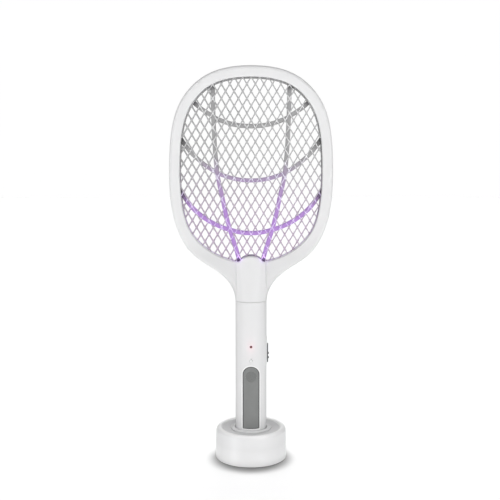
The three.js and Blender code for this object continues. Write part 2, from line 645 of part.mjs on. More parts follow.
// Ultraviolet lamps in the tongue, two in front of the grid and two behind it.
place(swatter, "uv_led_board", box(-9.6, 9.6, -5.2, 5.2, 225.4, 226.6), shade(0xf0f0f0, 0.5));
[[-5, -2.9], [5, -2.9], [-5, 2.9], [5, 2.9]].forEach(([x, y], i) =>
  place(
    swatter,
    `uv_led_${i + 1}`,
    turned([[0, 226.9], [1.5, 226.9], [1.5, 231.8], [1, 232.8], [0, 233.1]], 10, x, y),
    shade(0x9a6bff, 0.2, 0, { emissive: 0x7a3cff, emissiveIntensity: 1.5 }),
  ),
);
// Insulated leads from the converter up the neck.
place(swatter, "grid_lead", wire([[-9.4, 0, 150], [-9.6, 0.4, 165], [-10.4, 0.6, 190], [-12.2, 0, 215], [-13.2, 0, 224]], 0.7, 8, 6), shade(0xb02a2a, 0.5));
place(swatter, "guard_lead", wire([[9.4, 2, 150], [9.6, 3, 165], [10.4, 4.5, 190], [11.4, 5, 212], [11.8, 5, 222]], 0.7, 8, 6), shade(0x252527, 0.5));
place(swatter, "uv_lead", wire([[-6, -6.9, 162.8], [-6, -6, 170], [-5.5, -4.6, 182], [-3, -2.6, 200], [-0.6, -0.8, 214], [0, -0.5, 224.9]], 0.7, 8, 6), shade(0xd8d8d8, 0.5));

export default root;
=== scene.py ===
import bpy, bmesh, json, math
import numpy as np
from mathutils import Matrix, Vector

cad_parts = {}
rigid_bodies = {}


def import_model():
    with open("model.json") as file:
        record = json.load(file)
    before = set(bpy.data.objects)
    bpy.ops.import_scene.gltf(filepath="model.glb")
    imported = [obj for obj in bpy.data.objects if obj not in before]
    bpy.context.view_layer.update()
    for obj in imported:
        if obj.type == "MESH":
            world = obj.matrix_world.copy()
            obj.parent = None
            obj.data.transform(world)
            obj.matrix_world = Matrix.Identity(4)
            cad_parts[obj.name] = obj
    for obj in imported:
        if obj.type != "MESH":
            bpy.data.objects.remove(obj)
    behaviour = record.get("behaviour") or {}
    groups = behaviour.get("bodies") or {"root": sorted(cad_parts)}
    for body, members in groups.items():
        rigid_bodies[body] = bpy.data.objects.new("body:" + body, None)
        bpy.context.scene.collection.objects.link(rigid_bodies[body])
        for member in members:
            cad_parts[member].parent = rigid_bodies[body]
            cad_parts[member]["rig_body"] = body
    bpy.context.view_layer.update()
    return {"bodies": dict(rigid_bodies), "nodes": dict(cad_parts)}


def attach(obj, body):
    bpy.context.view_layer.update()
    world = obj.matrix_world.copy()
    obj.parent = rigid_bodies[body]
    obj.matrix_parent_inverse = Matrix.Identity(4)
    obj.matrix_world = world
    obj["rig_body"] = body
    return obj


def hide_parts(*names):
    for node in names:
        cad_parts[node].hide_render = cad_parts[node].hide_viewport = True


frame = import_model()
MM = 0.001
BODIES = frame["bodies"]
NODES = frame["nodes"]
scene = bpy.context.scene

# ------------------------------------------------------------------ dimensions, mm
HANDLE_R = 18.2
WALL = 2.0
Z0, Z1 = 26.4, 186.6
NECK = 186.9
HEAD_Y = 10.2
LIP_Y = 6.6
SPLIT = 0.15
PX, PZ = 9.72, 16.32
CROSS_Z = 378.73
STRIP_W, STRIP_BOT, STRIP_TOP = 9.7, 37.7, 111.7
BUTTON_Z, BUTTON_R = 99.6, 6.1
LED_Z, SENSOR_Z = 134.8, 119.0
SCREW_ZS = [33.4, 168.0]
POSTS = [(0, 451.7), (79.1, 408.6), (-79.1, 408.6), (72.6, 258.6), (-72.6, 258.6)]
OUTER = [
    (0, 457.28), (8.86, 457.05), (17.75, 456.34), (26.58, 455.03), (35.25, 452.99), (43.68, 450.09), (51.71, 446.23),
    (59.19, 441.38), (66.02, 435.66), (72.13, 429.2), (77.5, 422.09), (82.01, 414.42), (85.6, 406.28), (88.35, 397.82),
    (90.36, 389.16), (91.82, 380.38), (92.86, 371.54), (93.6, 362.68), (94.09, 353.79), (94.38, 344.9), (94.5, 336),
    (94.45, 327.11), (94.18, 318.21), (93.63, 309.33), (92.7, 300.48), (91.35, 291.69), (89.5, 282.99), (87.05, 274.44),
    (83.95, 266.09), (80.15, 258.05), (75.55, 250.43), (70.02, 243.46), (63.47, 237.43), (56.21, 232.26), (48.69, 227.49),
    (41.23, 222.61), (34.2, 217.14), (27.98, 210.78), (22.96, 203.44), (19.58, 195.22), (18.2, 186.9),
]
INNER = [
    (0, 443.92), (9.1, 443.66), (18.21, 442.88), (27.23, 441.36), (36.03, 438.91), (44.43, 435.29), (52.14, 430.39),
    (58.99, 424.34), (64.91, 417.38), (69.84, 409.68), (73.7, 401.4), (76.56, 392.72), (78.57, 383.8), (79.92, 374.75),
    (80.78, 365.65), (81.33, 356.52), (81.69, 347.38), (81.88, 338.23), (81.83, 329.09), (81.5, 319.95), (80.87, 310.82),
    (79.89, 301.73), (78.5, 292.69), (76.49, 283.77), (73.57, 275.11), (69.48, 266.94), (64.17, 259.5), (57.85, 252.9),
    (50.74, 247.15), (43.01, 242.27), (34.8, 238.26), (26.2, 235.15), (17.32, 232.99),
]
TONGUE = [(13.4, 233.3), (11, 235.9), (8, 238), (4.2, 239.3), (0, 239.7)]
RAIL = [
    (44.2, 440), (44, 430), (43.6, 412), (43.2, 398), (42.4, 378), (41.2, 357.7), (39.2, 336), (36.8, 322.5),
    (33.7, 309.6), (29.2, 287.4), (23.8, 267.5), (18.7, 251.4), (13.4, 233.1), (12.4, 229.5),
]
ARCS = [
    [(0, 388.8), (19.7, 390.7), (37.1, 396.3), (47.4, 402.2), (58.2, 409.3), (69, 418.5)],
    [(0, 326.7), (17.3, 328.3), (33, 332.9), (44.5, 338.7), (55.5, 346.4), (68.5, 358), (79.1, 371.9), (83.5, 379.5)],
    [(0, 265.8), (11.3, 266.5), (25.7, 269.8), (39.9, 275.2), (52.4, 282.2), (64.1, 291.4), (73, 301.6), (83.6, 318.5)],
]


# ------------------------------------------------------------------ small tools
def smooth(a, b, x):
    t = np.clip((np.asarray(x, float) - a) / (b - a), 0, 1)
    return t * t * (3 - 2 * t)


def spline(points, per, before, after):
    """Catmull-Rom curve through the points, with the neighbours beyond both ends given."""
    p = np.array([before, *points, after], float)
    out = []
    for i in range(1, len(p) - 2):
        a, b, c, d = p[i - 1], p[i], p[i + 1], p[i + 2]
        for k in range(per):
            t = k / per
            out.append(0.5 * (2 * b + (c - a) * t + (2 * a - 5 * b + 4 * c - d) * t**2 + (3 * b - a - 3 * c + d) * t**3))
    out.append(p[-2])
    return np.array(out)


def resample(line, n):
    """n + 1 points, evenly along the line."""
    line = np.asarray(line, float)
    s = np.concatenate([[0], np.cumsum(np.linalg.norm(np.diff(line, axis=0), axis=1))])
    t = np.linspace(0, s[-1], n + 1)
    return np.stack([np.interp(t, s, line[:, k]) for k in range(line.shape[1])], 1)


def distance(points, line, closed=False):
    """Shortest distance of each point to a polyline."""
    line = np.asarray(line, float)
    a = line
    b = np.roll(line, -1, 0) if closed else line[1:]
    a = a if closed else a[:-1]
    keep = np.linalg.norm(b - a, axis=1) > 1e-9
    a, b = a[keep], b[keep]
    best = np.full(len(points), 1e9)
    for i in range(0, len(a), 64):
        aa, bb = a[i : i + 64], b[i : i + 64]
        ab = bb - aa
        ap = points[:, None, :] - aa[None]
        t = np.clip((ap * ab[None]).sum(2) / (ab * ab).sum(1)[None], 0, 1)
        d = np.linalg.norm(ap - t[..., None] * ab[None], axis=2).min(1)
        best = np.minimum(best, d)
    return best


def inside(points, loop):
    """Which points lie in the closed loop."""
    p = np.asarray(points, float)
    a = np.asarray(loop, float)
    b = np.roll(a, -1, 0)
    keep = a[:, 1] != b[:, 1]
    a, b = a[keep], b[keep]
    slope = (b[:, 0] - a[:, 0]) / (b[:, 1] - a[:, 1])
    lo, hi = np.minimum(a[:, 1], b[:, 1]), np.maximum(a[:, 1], b[:, 1])
    y = p[:, 1][:, None]
    cross = (y > lo[None]) & (y <= hi[None]) & (p[:, 0][:, None] < a[None, :, 0] + (y - a[None, :, 1]) * slope[None])
    return cross.sum(1) % 2 == 1


def offset_loop(loop, d):
    """A closed loop moved outwards by d."""
    p = np.asarray(loop, float)
    t = np.roll(p, -1, 0) - np.roll(p, 1, 0)
    t /= np.linalg.norm(t, axis=1)[:, None]
    n = np.stack([t[:, 1], -t[:, 0]], 1)
    area = (p[:, 0] * np.roll(p[:, 1], -1) - np.roll(p[:, 0], -1) * p[:, 1]).sum()
    return p + n * d * (1 if area > 0 else -1)


def mesh_object(name, verts, faces, material=None, angle=35):
    me = bpy.data.meshes.new(name)
    me.from_pydata([tuple(float(c) * MM for c in v) for v in verts], [], [tuple(int(i) for i in f) for f in faces])
    me.validate()
    bm = bmesh.new()
    bm.from_mesh(me)
    bmesh.ops.remove_doubles(bm, verts=bm.verts, dist=1e-6)
    bmesh.ops.recalc_face_normals(bm, faces=bm.faces)
    bm.to_mesh(me)
    bm.free()
    ob = bpy.data.objects.new(name, me)
    scene.collection.objects.link(ob)
    if material is not None:
        me.materials.append(material)
    shade(ob, angle)
    return ob


def shade(ob, angle=35):
    ob.data.shade_smooth()
    ob.data.set_sharp_from_angle(angle=math.radians(angle))


def grid(P, closed_u, closed_v, start=0):
    """Faces of a grid of points P[u][v]."""
    nu, nv = len(P), len(P[0])
    faces = []
    for i in range(nu if closed_u else nu - 1):
        for j in range(nv if closed_v else nv - 1):
            a = i * nv + j
            b = ((i + 1) % nu) * nv + j
            c = ((i + 1) % nu) * nv + (j + 1) % nv
            d = i * nv + (j + 1) % nv
            faces.append((start + a, start + b, start + c, start + d))
    return faces


def turned(profile, seg, at=(0, 0, 0), axis="z"):
    """Verts and faces of a profile of [r, h] turned about an axis; closes on itself or on the axis."""
    on_axis = profile[0][0] < 1e-6 and profile[-1][0] < 1e-6
    verts, faces = [], []
    for i in range(seg):
        a = 2 * math.pi * i / seg
        for r, h in profile:
            r = max(r, 1e-7)
            if axis == "z":
                verts.append((at[0] + r * math.cos(a), at[1] + r * math.sin(a), at[2] + h))
            elif axis == "y":
                verts.append((at[0] + r * math.cos(a), at[1] + h, at[2] + r * math.sin(a)))
            else:
                verts.append((at[0] + h, at[1] + r * math.cos(a), at[2] + r * math.sin(a)))
    n = len(profile)
    for i in range(seg):
        k = (i + 1) % seg
        for j in range(n - 1 if on_axis else n):
            m = (j + 1) % n
            faces.append((i * n + j, k * n + j, k * n + m, i * n + m))
    return verts, faces


def lathe(name, profile, seg, material, at=(0, 0, 0), axis="z", angle=35):
    v, f = turned(profile, seg, at, axis)
    return mesh_object(name, v, f, material, angle)


def prism(name, outline, a, b, plane="xz"):
    """A closed prism of an outline, between a and b along the third axis; used as a cutter."""
    n = len(outline)
    put = {"xz": lambda p, t: (p[0], t, p[1]), "yz": lambda p, t: (t, p[0], p[1]), "xy": lambda p, t: (p[0], p[1], t)}[plane]
    verts = [put(p, a) for p in outline] + [put(p, b) for p in outline]
    faces = [tuple(range(n)), tuple(range(n, 2 * n))]
    faces += [(i, (i + 1) % n, n + (i + 1) % n, n + i) for i in range(n)]
    return mesh_object(name, verts, faces)


def bevelled_box(name, lo, hi, r, material, seg=3):
    """A block with rounded edges."""
    me = bpy.data.meshes.new(name)
    bm = bmesh.new()
    bmesh.ops.create_cube(bm, size=1)
    for v in bm.verts:
        v.co = Vector([((lo[k] + hi[k]) / 2 + v.co[k] * (hi[k] - lo[k])) * MM for k in range(3)])
    bmesh.ops.bevel(bm, geom=list(bm.edges) + list(bm.verts), offset=r * MM, segments=seg, profile=0.5, affect="EDGES")
    bmesh.ops.recalc_face_normals(bm, faces=bm.faces)
    bm.to_mesh(me)
    bm.free()
    ob = bpy.data.objects.new(name, me)
    scene.collection.objects.link(ob)
    me.materials.append(material)
    shade(ob, 50)
    return ob


def sweep(path, section, closed=False, up=None, flip=False):
    """Verts and faces of a section [[a, b], ...] carried along a path of 3-D points; a is across (up x tangent) and b along up."""
    path = np.asarray(path, float)
    n = len(path)
    if closed:
        t = np.roll(path, -1, 0) - np.roll(path, 1, 0)
    else:
        t = np.gradient(path, axis=0)
    t /= np.linalg.norm(t, axis=1)[:, None]
    verts = []
    if up is None:
        normal = np.cross(t[0], [0.3, 0.5, 0.8])
        normal /= np.linalg.norm(normal)
        ups = []
        for i in range(n):
            normal = normal - t[i] * (normal @ t[i])
            normal /= np.linalg.norm(normal)
            ups.append(normal.copy())
        ups = np.array(ups)
    else:
        ups = np.repeat(np.array([up], float), n, 0) if np.ndim(up) == 1 else np.asarray(up, float)
    for i in range(n):
        side = np.cross(t[i], ups[i])
        side /= np.linalg.norm(side)
        for a, b in section:
            verts.append(path[i] + side * a + ups[i] * b)
    m = len(section)
    faces = []
    for i in range(n if closed else n - 1):
        for j in range(m):
            k, l = (i + 1) % n, (j + 1) % m
            faces.append((i * m + j, k * m + j, k * m + l, i * m + l))
    if not closed:
        faces += [tuple(range(m)), tuple(range((n - 1) * m, n * m))]
    return verts, faces


def rounded_rect(w, h, r, seg=4):
    pts = []
    for cx, cy, a0 in ((w / 2 - r, h / 2 - r, 0), (-w / 2 + r, h / 2 - r, 90), (-w / 2 + r, -h / 2 + r, 180), (w / 2 - r, -h / 2 + r, 270)):
        for k in range(seg + 1):
            a = math.radians(a0 + 90 * k / seg)
            pts.append((cx + r * math.cos(a), cy + r * math.sin(a)))
    return pts


def joined(parts):
    verts, faces = [], []
    for v, f in parts:
        n = len(verts)
        verts.extend(v)
        faces.extend(tuple(i + n for i in q) for q in f)
    return verts, faces


def boolean(ob, cutters, operation="DIFFERENCE", angle=35):
    for c in cutters:
        m = ob.modifiers.new("cut", "BOOLEAN")
        m.object, m.operation, m.solver = c, operation, "EXACT"
    dg = bpy.context.evaluated_depsgraph_get()
    dg.update()
    made = bpy.data.meshes.new_from_object(ob.evaluated_get(dg))
    ob.modifiers.clear()
    old, ob.data = ob.data, made
    made.name = ob.name
    if old.materials and not made.materials:
        made.materials.append(old.materials[0])
    bpy.data.meshes.remove(old)
    for c in cutters:
        data = c.data
        bpy.data.objects.remove(c)
        bpy.data.meshes.remove(data)
    shade(ob, angle)
    return ob


def give(ob, body, nodes=()):
    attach(ob, body)
    if nodes:
        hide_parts(*nodes)
    return ob


# ------------------------------------------------------------------ materials
def material(name, colour, rough=0.4, metal=0.0, var=0.03, scale=70, rvar=0.06, bump=0.25, grain=1400, depth=0.00003, **more):
    """A moulded or metal surface: slow colour drift, uneven gloss and a fine grain, all in object space."""
    m = bpy.data.materials.new(name)
    m.use_nodes = True
    nt = m.node_tree
    b = nt.nodes["Principled BSDF"]
    b.inputs["Metallic"].default_value = metal
    co = nt.nodes.new("ShaderNodeTexCoord")

    def noise(s, detail=3, seed=0.0):
        n = nt.nodes.new("ShaderNodeTexNoise")
        n.inputs["Scale"].default_value = s
        n.inputs["Detail"].default_value = detail
        if seed:
            mp = nt.nodes.new("ShaderNodeMapping")
            mp.inputs["Location"].default_value = (seed, seed * 1.7, -seed)
            nt.links.new(co.outputs["Object"], mp.inputs["Vector"])
            nt.links.new(mp.outputs["Vector"], n.inputs["Vector"])
        else:
            nt.links.new(co.outputs["Object"], n.inputs["Vector"])
        return n

    ramp = nt.nodes.new("ShaderNodeValToRGB")
    ramp.color_ramp.elements[0].position, ramp.color_ramp.elements[1].position = 0.3, 0.7
    ramp.color_ramp.elements[0].color = (*[c * (1 - var) for c in colour], 1)
    ramp.color_ramp.elements[1].color = (*[min(1, c * (1 + var)) for c in colour], 1)
    nt.links.new(noise(scale).outputs["Fac"], ramp.inputs["Fac"])
    nt.links.new(ramp.outputs["Color"], b.inputs["Base Color"])
    mr = nt.nodes.new("ShaderNodeMapRange")
    mr.inputs["From Min"].default_value, mr.inputs["From Max"].default_value = 0.3, 0.7
    mr.inputs["To Min"].default_value, mr.inputs["To Max"].default_value = max(0.02, rough - rvar), rough + rvar
    nt.links.new(noise(scale * 4, 4, 0.31).outputs["Fac"], mr.inputs["Value"])
    nt.links.new(mr.outputs["Result"], b.inputs["Roughness"])
    bp = nt.nodes.new("ShaderNodeBump")
    bp.inputs["Strength"].default_value = bump
    bp.inputs["Distance"].default_value = depth
    nt.links.new(noise(grain, 2, 0.77).outputs["Fac"], bp.inputs["Height"])
    nt.links.new(bp.outputs["Normal"], b.inputs["Normal"])
    for key, value in more.items():
        b.inputs[key.replace("_", " ")].default_value = value
    return m


def brushed(name, colour, rough, direction=(1, 1, 30), **more):
    """Metal with fine drawn lines."""
    m = material(name, colour, rough, 1.0, var=0.06, scale=200, rvar=0.08, bump=0.3, grain=600, depth=0.00002, **more)
    nt = m.node_tree
    n = [x for x in nt.nodes if x.type == "TEX_NOISE"][-1]
    mp = [x for x in nt.nodes if x.type == "MAPPING"][-1]
    mp.inputs["Scale"].default_value = direction
    n.inputs["Detail"].default_value = 4
    return m


def height_blend(m, stops, target="Base Color", wobble=0.03):
    """Colours by height, in metres, replacing the plain colour."""
    nt = m.node_tree
    b = nt.nodes["Principled BSDF"]
    co = nt.nodes.new("ShaderNodeTexCoord")
    sep = nt.nodes.new("ShaderNodeSeparateXYZ")
    nt.links.new(co.outputs["Object"], sep.inputs["Vector"])
    lo, hi = stops[0][0], stops[-1][0]
    wob = nt.nodes.new("ShaderNodeTexNoise")
    wob.inputs["Scale"].default_value = 30
    nt.links.new(co.outputs["Object"], wob.inputs["Vector"])
    add = nt.nodes.new("ShaderNodeMath")
    add.operation = "MULTIPLY_ADD"
    add.inputs[1].default_value = wobble
    nt.links.new(wob.outputs["Fac"], add.inputs[0])
    nt.links.new(sep.outputs["Z"], add.inputs[2])
    mr = nt.nodes.new("ShaderNodeMapRange")
    mr.inputs["From Min"].default_value, mr.inputs["From Max"].default_value = lo + wobble / 2, hi + wobble / 2
    nt.links.new(add.outputs["Value"], mr.inputs["Value"])
    ramp = nt.nodes.new("ShaderNodeValToRGB")
    els = ramp.color_ramp.elements
    while len(els) > 1:
        els.remove(els[-1])
    els[0].position, els[0].color = 0.0, (*stops[0][1], 1)
    for z, c in stops[1:]:
        e = els.new((z - lo) / (hi - lo))
        e.color = (*c, 1)
    nt.links.new(mr.outputs["Result"], ramp.inputs["Fac"])
    nt.links.new(ramp.outputs["Color"], b.inputs[target])
    return m


WHITE = material("white_satin_plastic", (0.80, 0.80, 0.805), 0.42, var=0.008, scale=25, rvar=0.04, bump=0.16, grain=1800, depth=0.00002, Specular_IOR_Level=0.25)
WHITE_HEAD = material("white_head_plastic", (0.80, 0.80, 0.805), 0.45, var=0.008, scale=25, rvar=0.04, bump=0.14, grain=1800, depth=0.00002, Specular_IOR_Level=0.25)
WHITE_DOCK = material("white_dock_plastic", (0.81, 0.81, 0.815), 0.36, var=0.008, scale=25, rvar=0.02, bump=0.05, grain=1800, depth=0.00002, Specular_IOR_Level=0.35, Coat_Weight=0.55, Coat_Roughness=0.17)
WHITE_BEVEL = material("white_bevel_painted_highlight", (0.9, 0.9, 0.9), 0.35, var=0.008, scale=25, rvar=0.04, bump=0.12, grain=1800, depth=0.00002, Specular_IOR_Level=0.3)
# painted light and shade: the dock is paler at its foot and on the rim's crest and greyer up its side, standing in for
# how the light falls on it
height_blend(WHITE_DOCK, [(0.0, (0.96, 0.96, 0.96)), (0.004, (0.93, 0.93, 0.93)), (0.011, (0.85, 0.85, 0.855)), (0.02, (0.765, 0.765, 0.77)), (0.0335, (0.75, 0.75, 0.755)), (0.0357, (0.91, 0.91, 0.91))], wobble=0.002)
PALE = material("pale_grey_plastic", (0.70, 0.70, 0.705), 0.4, var=0.015, scale=40, rvar=0.05, bump=0.2)
# painted shade: the dish is greyer than the dock, standing in for the shade on its upward face
DISH = material("dish_painted_shade_grey", (0.63, 0.63, 0.635), 0.45, var=0.02, scale=40, rvar=0.05, bump=0.25)
GRIP = material("grip_soft_touch_grey", (0.222, 0.228, 0.224), 0.62, var=0.05, scale=60, rvar=0.06, bump=0.5, grain=2600, depth=0.00006)
# painted shade: the groove round the inlay is near black, standing in for the shade in it
GRIP_GROOVE_SHADE = material("grip_groove_painted_shade", (0.07, 0.072, 0.071), 0.7, var=0.05, scale=60, rvar=0.06, bump=0.3, grain=2600, depth=0.00005)
BUTTON = material("button_soft_touch_grey", (0.19, 0.196, 0.192), 0.6, var=0.05, scale=90, rvar=0.06, bump=0.5, grain=2600, depth=0.00006)
SLIDER = material("slider_dark_grey", (0.14, 0.143, 0.147), 0.5, var=0.05, scale=120, rvar=0.06, bump=0.4, grain=2600, depth=0.00005)
RUBBER = material("foot_rubber_black", (0.018, 0.018, 0.019), 0.85, var=0.12, scale=160, rvar=0.05, bump=0.8, grain=2200, depth=0.00012)
STEEL = brushed("screw_steel_brushed", (0.42, 0.43, 0.45), 0.32)
IRON = material("ballast_iron_cast", (0.16, 0.165, 0.175), 0.6, 0.9, var=0.2, scale=160, rvar=0.12, bump=0.9, grain=700, depth=0.0002)
BOARD = material("circuit_board_green", (0.02, 0.105, 0.045), 0.38, var=0.12, scale=220, rvar=0.08, bump=0.5, grain=900, depth=0.00005)
LAMP_BOARD = material("lamp_board_white", (0.72, 0.72, 0.74), 0.35, var=0.03, scale=220, rvar=0.06, bump=0.4, grain=900, depth=0.00004)
INLET = brushed("inlet_steel_drawn", (0.55, 0.56, 0.58), 0.25)
BRASS = brushed("gilt_brass", (0.83, 0.60, 0.23), 0.22)
NICKEL = brushed("contact_nickel", (0.66, 0.65, 0.62), 0.22)
BLACK = material("switch_black", (0.02, 0.02, 0.021), 0.42, var=0.1, scale=200, rvar=0.08, bump=0.4)
TAPE = material("transformer_tape", (0.62, 0.44, 0.08), 0.34, var=0.08, scale=260, rvar=0.08, bump=0.6, grain=1200, depth=0.00006)
CAPACITOR = material("capacitor_red_dip", (0.42, 0.075, 0.035), 0.24, var=0.1, scale=150, rvar=0.06, bump=0.5, grain=500, depth=0.0001, Coat_Weight=0.4)
CELL = material("cell_wrap_blue", (0.055, 0.16, 0.42), 0.28, var=0.06, scale=120, rvar=0.05, bump=0.3, grain=900)
RED_LEAD = material("lead_red_pvc", (0.42, 0.03, 0.025), 0.4, var=0.06, scale=200, bump=0.3)
BLACK_LEAD = material("lead_black_pvc", (0.02, 0.02, 0.022), 0.42, var=0.1, scale=200, bump=0.3)
WHITE_LEAD = material("lead_white_pvc", (0.7, 0.7, 0.69), 0.4, var=0.03, scale=200, bump=0.3)
LED = material("red_led_lens", (0.10, 0.004, 0.008), 0.18, var=0.1, scale=700, rvar=0.05, bump=0.1, grain=2200, Coat_Weight=0.6)
CLEAR = material("clear_window", (0.95, 0.95, 0.955), 0.12, var=0.02, scale=300, rvar=0.03, bump=0.1, grain=1400, Coat_Weight=0.5)
UV = material("uv_lens_violet", (0.45, 0.30, 0.80), 0.15, var=0.08, scale=500, rvar=0.05, bump=0.1, grain=1600)
UV.node_tree.nodes["Principled BSDF"].inputs["Emission Color"].default_value = (0.36, 0.12, 1.0, 1)
UV.node_tree.nodes["Principled BSDF"].inputs["Emission Strength"].default_value = 6.0

# painted light: the strands turn violet low down, standing in for the violet light of the lamps in the tongue
MESH_METAL = brushed("mesh_stainless", (0.43, 0.43, 0.435), 0.38, direction=(30, 1, 1))
height_blend(
    MESH_METAL,
    [(0.24, (0.47, 0.39, 0.48)), (0.28, (0.47, 0.40, 0.485)), (0.31, (0.465, 0.42, 0.475)), (0.335, (0.45, 0.44, 0.46)), (0.355, (0.45, 0.45, 0.455))],
)
# painted light: a paler copy of the strands' finish, violet low down, for the strands where they cross the ribs
MESH_LIT = brushed("mesh_stainless_painted_light_over_ribs", (0.78, 0.78, 0.785), 0.3, direction=(30, 1, 1))
height_blend(
    MESH_LIT,
    [(0.24, (0.66, 0.50, 0.82)), (0.28, (0.66, 0.51, 0.82)), (0.31, (0.66, 0.56, 0.79)), (0.335, (0.66, 0.63, 0.73)), (0.355, (0.66, 0.66, 0.665))],
)
# painted shade and light: the mesh's rim is dark as the shade line along the window's edge, and its second copy is pale
# low down where the lower edge is lit
RIM_PAINTED_SHADE = brushed("mesh_rim_stainless", (0.22, 0.22, 0.225), 0.4)
RIM_PAINTED_LIGHT_AND_SHADE = brushed("mesh_rim_painted_light_and_shade", (0.22, 0.22, 0.225), 0.4)
height_blend(
    RIM_PAINTED_LIGHT_AND_SHADE,
    [(0.236, (0.86, 0.85, 0.86)), (0.255, (0.74, 0.73, 0.75)), (0.272, (0.48, 0.46, 0.49)), (0.295, (0.34, 0.31, 0.35)), (0.33, (0.28, 0.27, 0.285)), (0.37, (0.22, 0.22, 0.225))],
)
WEB_BASE = [(0.24, (0.36, 0.22, 0.46)), (0.287, (0.36, 0.215, 0.47)), (0.31, (0.37, 0.26, 0.46)), (0.336, (0.365, 0.31, 0.405)), (0.352, (0.36, 0.357, 0.363))]
WEB_GLOW = [(0.24, (0.11, 0.045, 0.21)), (0.287, (0.10, 0.035, 0.19)), (0.31, (0.07, 0.02, 0.11)), (0.336, (0.02, 0.004, 0.03)), (0.352, (0.0, 0.0, 0.0))]


def web_material(name, level):
    """The webs' grey plastic, lit violet low down; level darkens it towards the frame."""
    m = material(name, (0.30 * level, 0.30 * level, 0.30 * level), 0.35, var=0.03, scale=90, rvar=0.05, bump=0.25)
    height_blend(m, [(z, tuple(v * level for v in c)) for z, c in WEB_BASE])
    height_blend(m, [(z, tuple(v * level for v in c)) for z, c in WEB_GLOW], "Emission Color")
    m.node_tree.nodes["Principled BSDF"].inputs["Emission Strength"].default_value = 1.0
    return m


WEB = web_material("web_grey_plastic", 1.0)
WEB_SHADES = [web_material(f"web_grey_shade_{i + 1}", v) for i, v in enumerate((0.8, 0.58, 0.36, 0.14))]

def painted_edge_shade(m, width, amount):
    """Painted shade: a greyer band along the parting plane of the shells, which darkens the outlines where the surface
    turns away.
    """
    nt = m.node_tree
    b = nt.nodes["Principled BSDF"]
    co = nt.nodes.new("ShaderNodeTexCoord")
    sep = nt.nodes.new("ShaderNodeSeparateXYZ")
    nt.links.new(co.outputs["Object"], sep.inputs["Vector"])
    flat = nt.nodes.new("ShaderNodeMath")
    flat.operation = "ABSOLUTE"
    nt.links.new(sep.outputs["Y"], flat.inputs[0])
    mr = nt.nodes.new("ShaderNodeMapRange")
    mr.interpolation_type = "SMOOTHSTEP"
    mr.inputs["From Min"].default_value, mr.inputs["From Max"].default_value = 0.0, width
    mr.inputs["To Min"].default_value, mr.inputs["To Max"].default_value = 1 - amount, 1.0
    nt.links.new(flat.outputs["Value"], mr.inputs["Value"])
    tone = nt.nodes.new("ShaderNodeVectorMath")
    tone.operation = "SCALE"
    nt.links.new(b.inputs["Base Color"].links[0].from_socket, tone.inputs[0])
    nt.links.new(mr.outputs["Result"], tone.inputs["Scale"])
    nt.links.new(tone.outputs["Vector"], b.inputs["Base Color"])


WHITE_SHELL = material("white_handle_plastic", (0.80, 0.80, 0.805), 0.40, var=0.008, scale=25, rvar=0.04, bump=0.16, grain=1800, depth=0.00002, Specular_IOR_Level=0.25)
# painted shade along the outlines of the handle and the head
painted_edge_shade(WHITE_SHELL, 0.0115, 0.22)
painted_edge_shade(WHITE_HEAD, 0.0086, 0.26)

# painted highlight: the bevel round the inlay is paler than the shell and glows faintly white
WHITE_BEVEL.node_tree.nodes["Principled BSDF"].inputs["Emission Color"].default_value = (1, 1, 1, 1)
WHITE_BEVEL.node_tree.nodes["Principled BSDF"].inputs["Emission Strength"].default_value = 0.06

# painted shade: the flare beside the tongue is made a shade greyer, standing in for the shade on the shoulders
nt = WHITE_HEAD.node_tree
_pb = nt.nodes["Principled BSDF"]
_co = nt.nodes.new("ShaderNodeTexCoord")
_sep = nt.nodes.new("ShaderNodeSeparateXYZ")
nt.links.new(_co.outputs["Object"], _sep.inputs["Vector"])
_abs = nt.nodes.new("ShaderNodeMath")
_abs.operation = "ABSOLUTE"
nt.links.new(_sep.outputs["X"], _abs.inputs[0])
_side = nt.nodes.new("ShaderNodeMapRange")
_side.interpolation_type = "SMOOTHSTEP"
_side.inputs["From Min"].default_value, _side.inputs["From Max"].default_value = 0.0158, 0.0182
_side.inputs["To Min"].default_value, _side.inputs["To Max"].default_value = 0.0, 0.09
nt.links.new(_abs.outputs["Value"], _side.inputs["Value"])
_low = nt.nodes.new("ShaderNodeMapRange")
_low.interpolation_type = "SMOOTHSTEP"
_low.inputs["From Min"].default_value, _low.inputs["From Max"].default_value = 0.234, 0.268
_low.inputs["To Min"].default_value, _low.inputs["To Max"].default_value = 1.0, 0.0
nt.links.new(_sep.outputs["Z"], _low.inputs["Value"])
_mul = nt.nodes.new("ShaderNodeMath")
_mul.operation = "MULTIPLY"
nt.links.new(_side.outputs["Result"], _mul.inputs[0])
nt.links.new(_low.outputs["Result"], _mul.inputs[1])
_inv = nt.nodes.new("ShaderNodeMath")
_inv.operation = "SUBTRACT"
_inv.inputs[0].default_value = 1.0
nt.links.new(_mul.outputs["Value"], _inv.inputs[1])
_tone = nt.nodes.new("ShaderNodeVectorMath")
_tone.operation = "SCALE"
nt.links.new(_pb.inputs["Base Color"].links[0].from_socket, _tone.inputs[0])
nt.links.new(_inv.outputs["Value"], _tone.inputs["Scale"])
nt.links.new(_tone.outputs["Vector"], _pb.inputs["Base Color"])

# ------------------------------------------------------------------ head outlines
outer_half = spline(OUTER, 12, (-8.86, 457.05), (18.2, 178.6))
inner_half = spline(INNER + TONGUE, 12, (-9.1, 443.66), (-4.2, 239.3))
PER = 12


def mirror_loop(half):
    """Full closed loop from a right half that starts and ends on the centre line."""
    left = half[::-1][1:-1].copy()
    left[:, 0] *= -1
    return np.vstack([half, left])


WINDOW = mirror_loop(inner_half)
OUT_FULL = np.vstack([outer_half[::-1] * [-1, 1], outer_half[1:]])
half_width_z = outer_half[::-1][:, 1]
half_width_x = outer_half[::-1][:, 0]
_low = half_width_z < 336

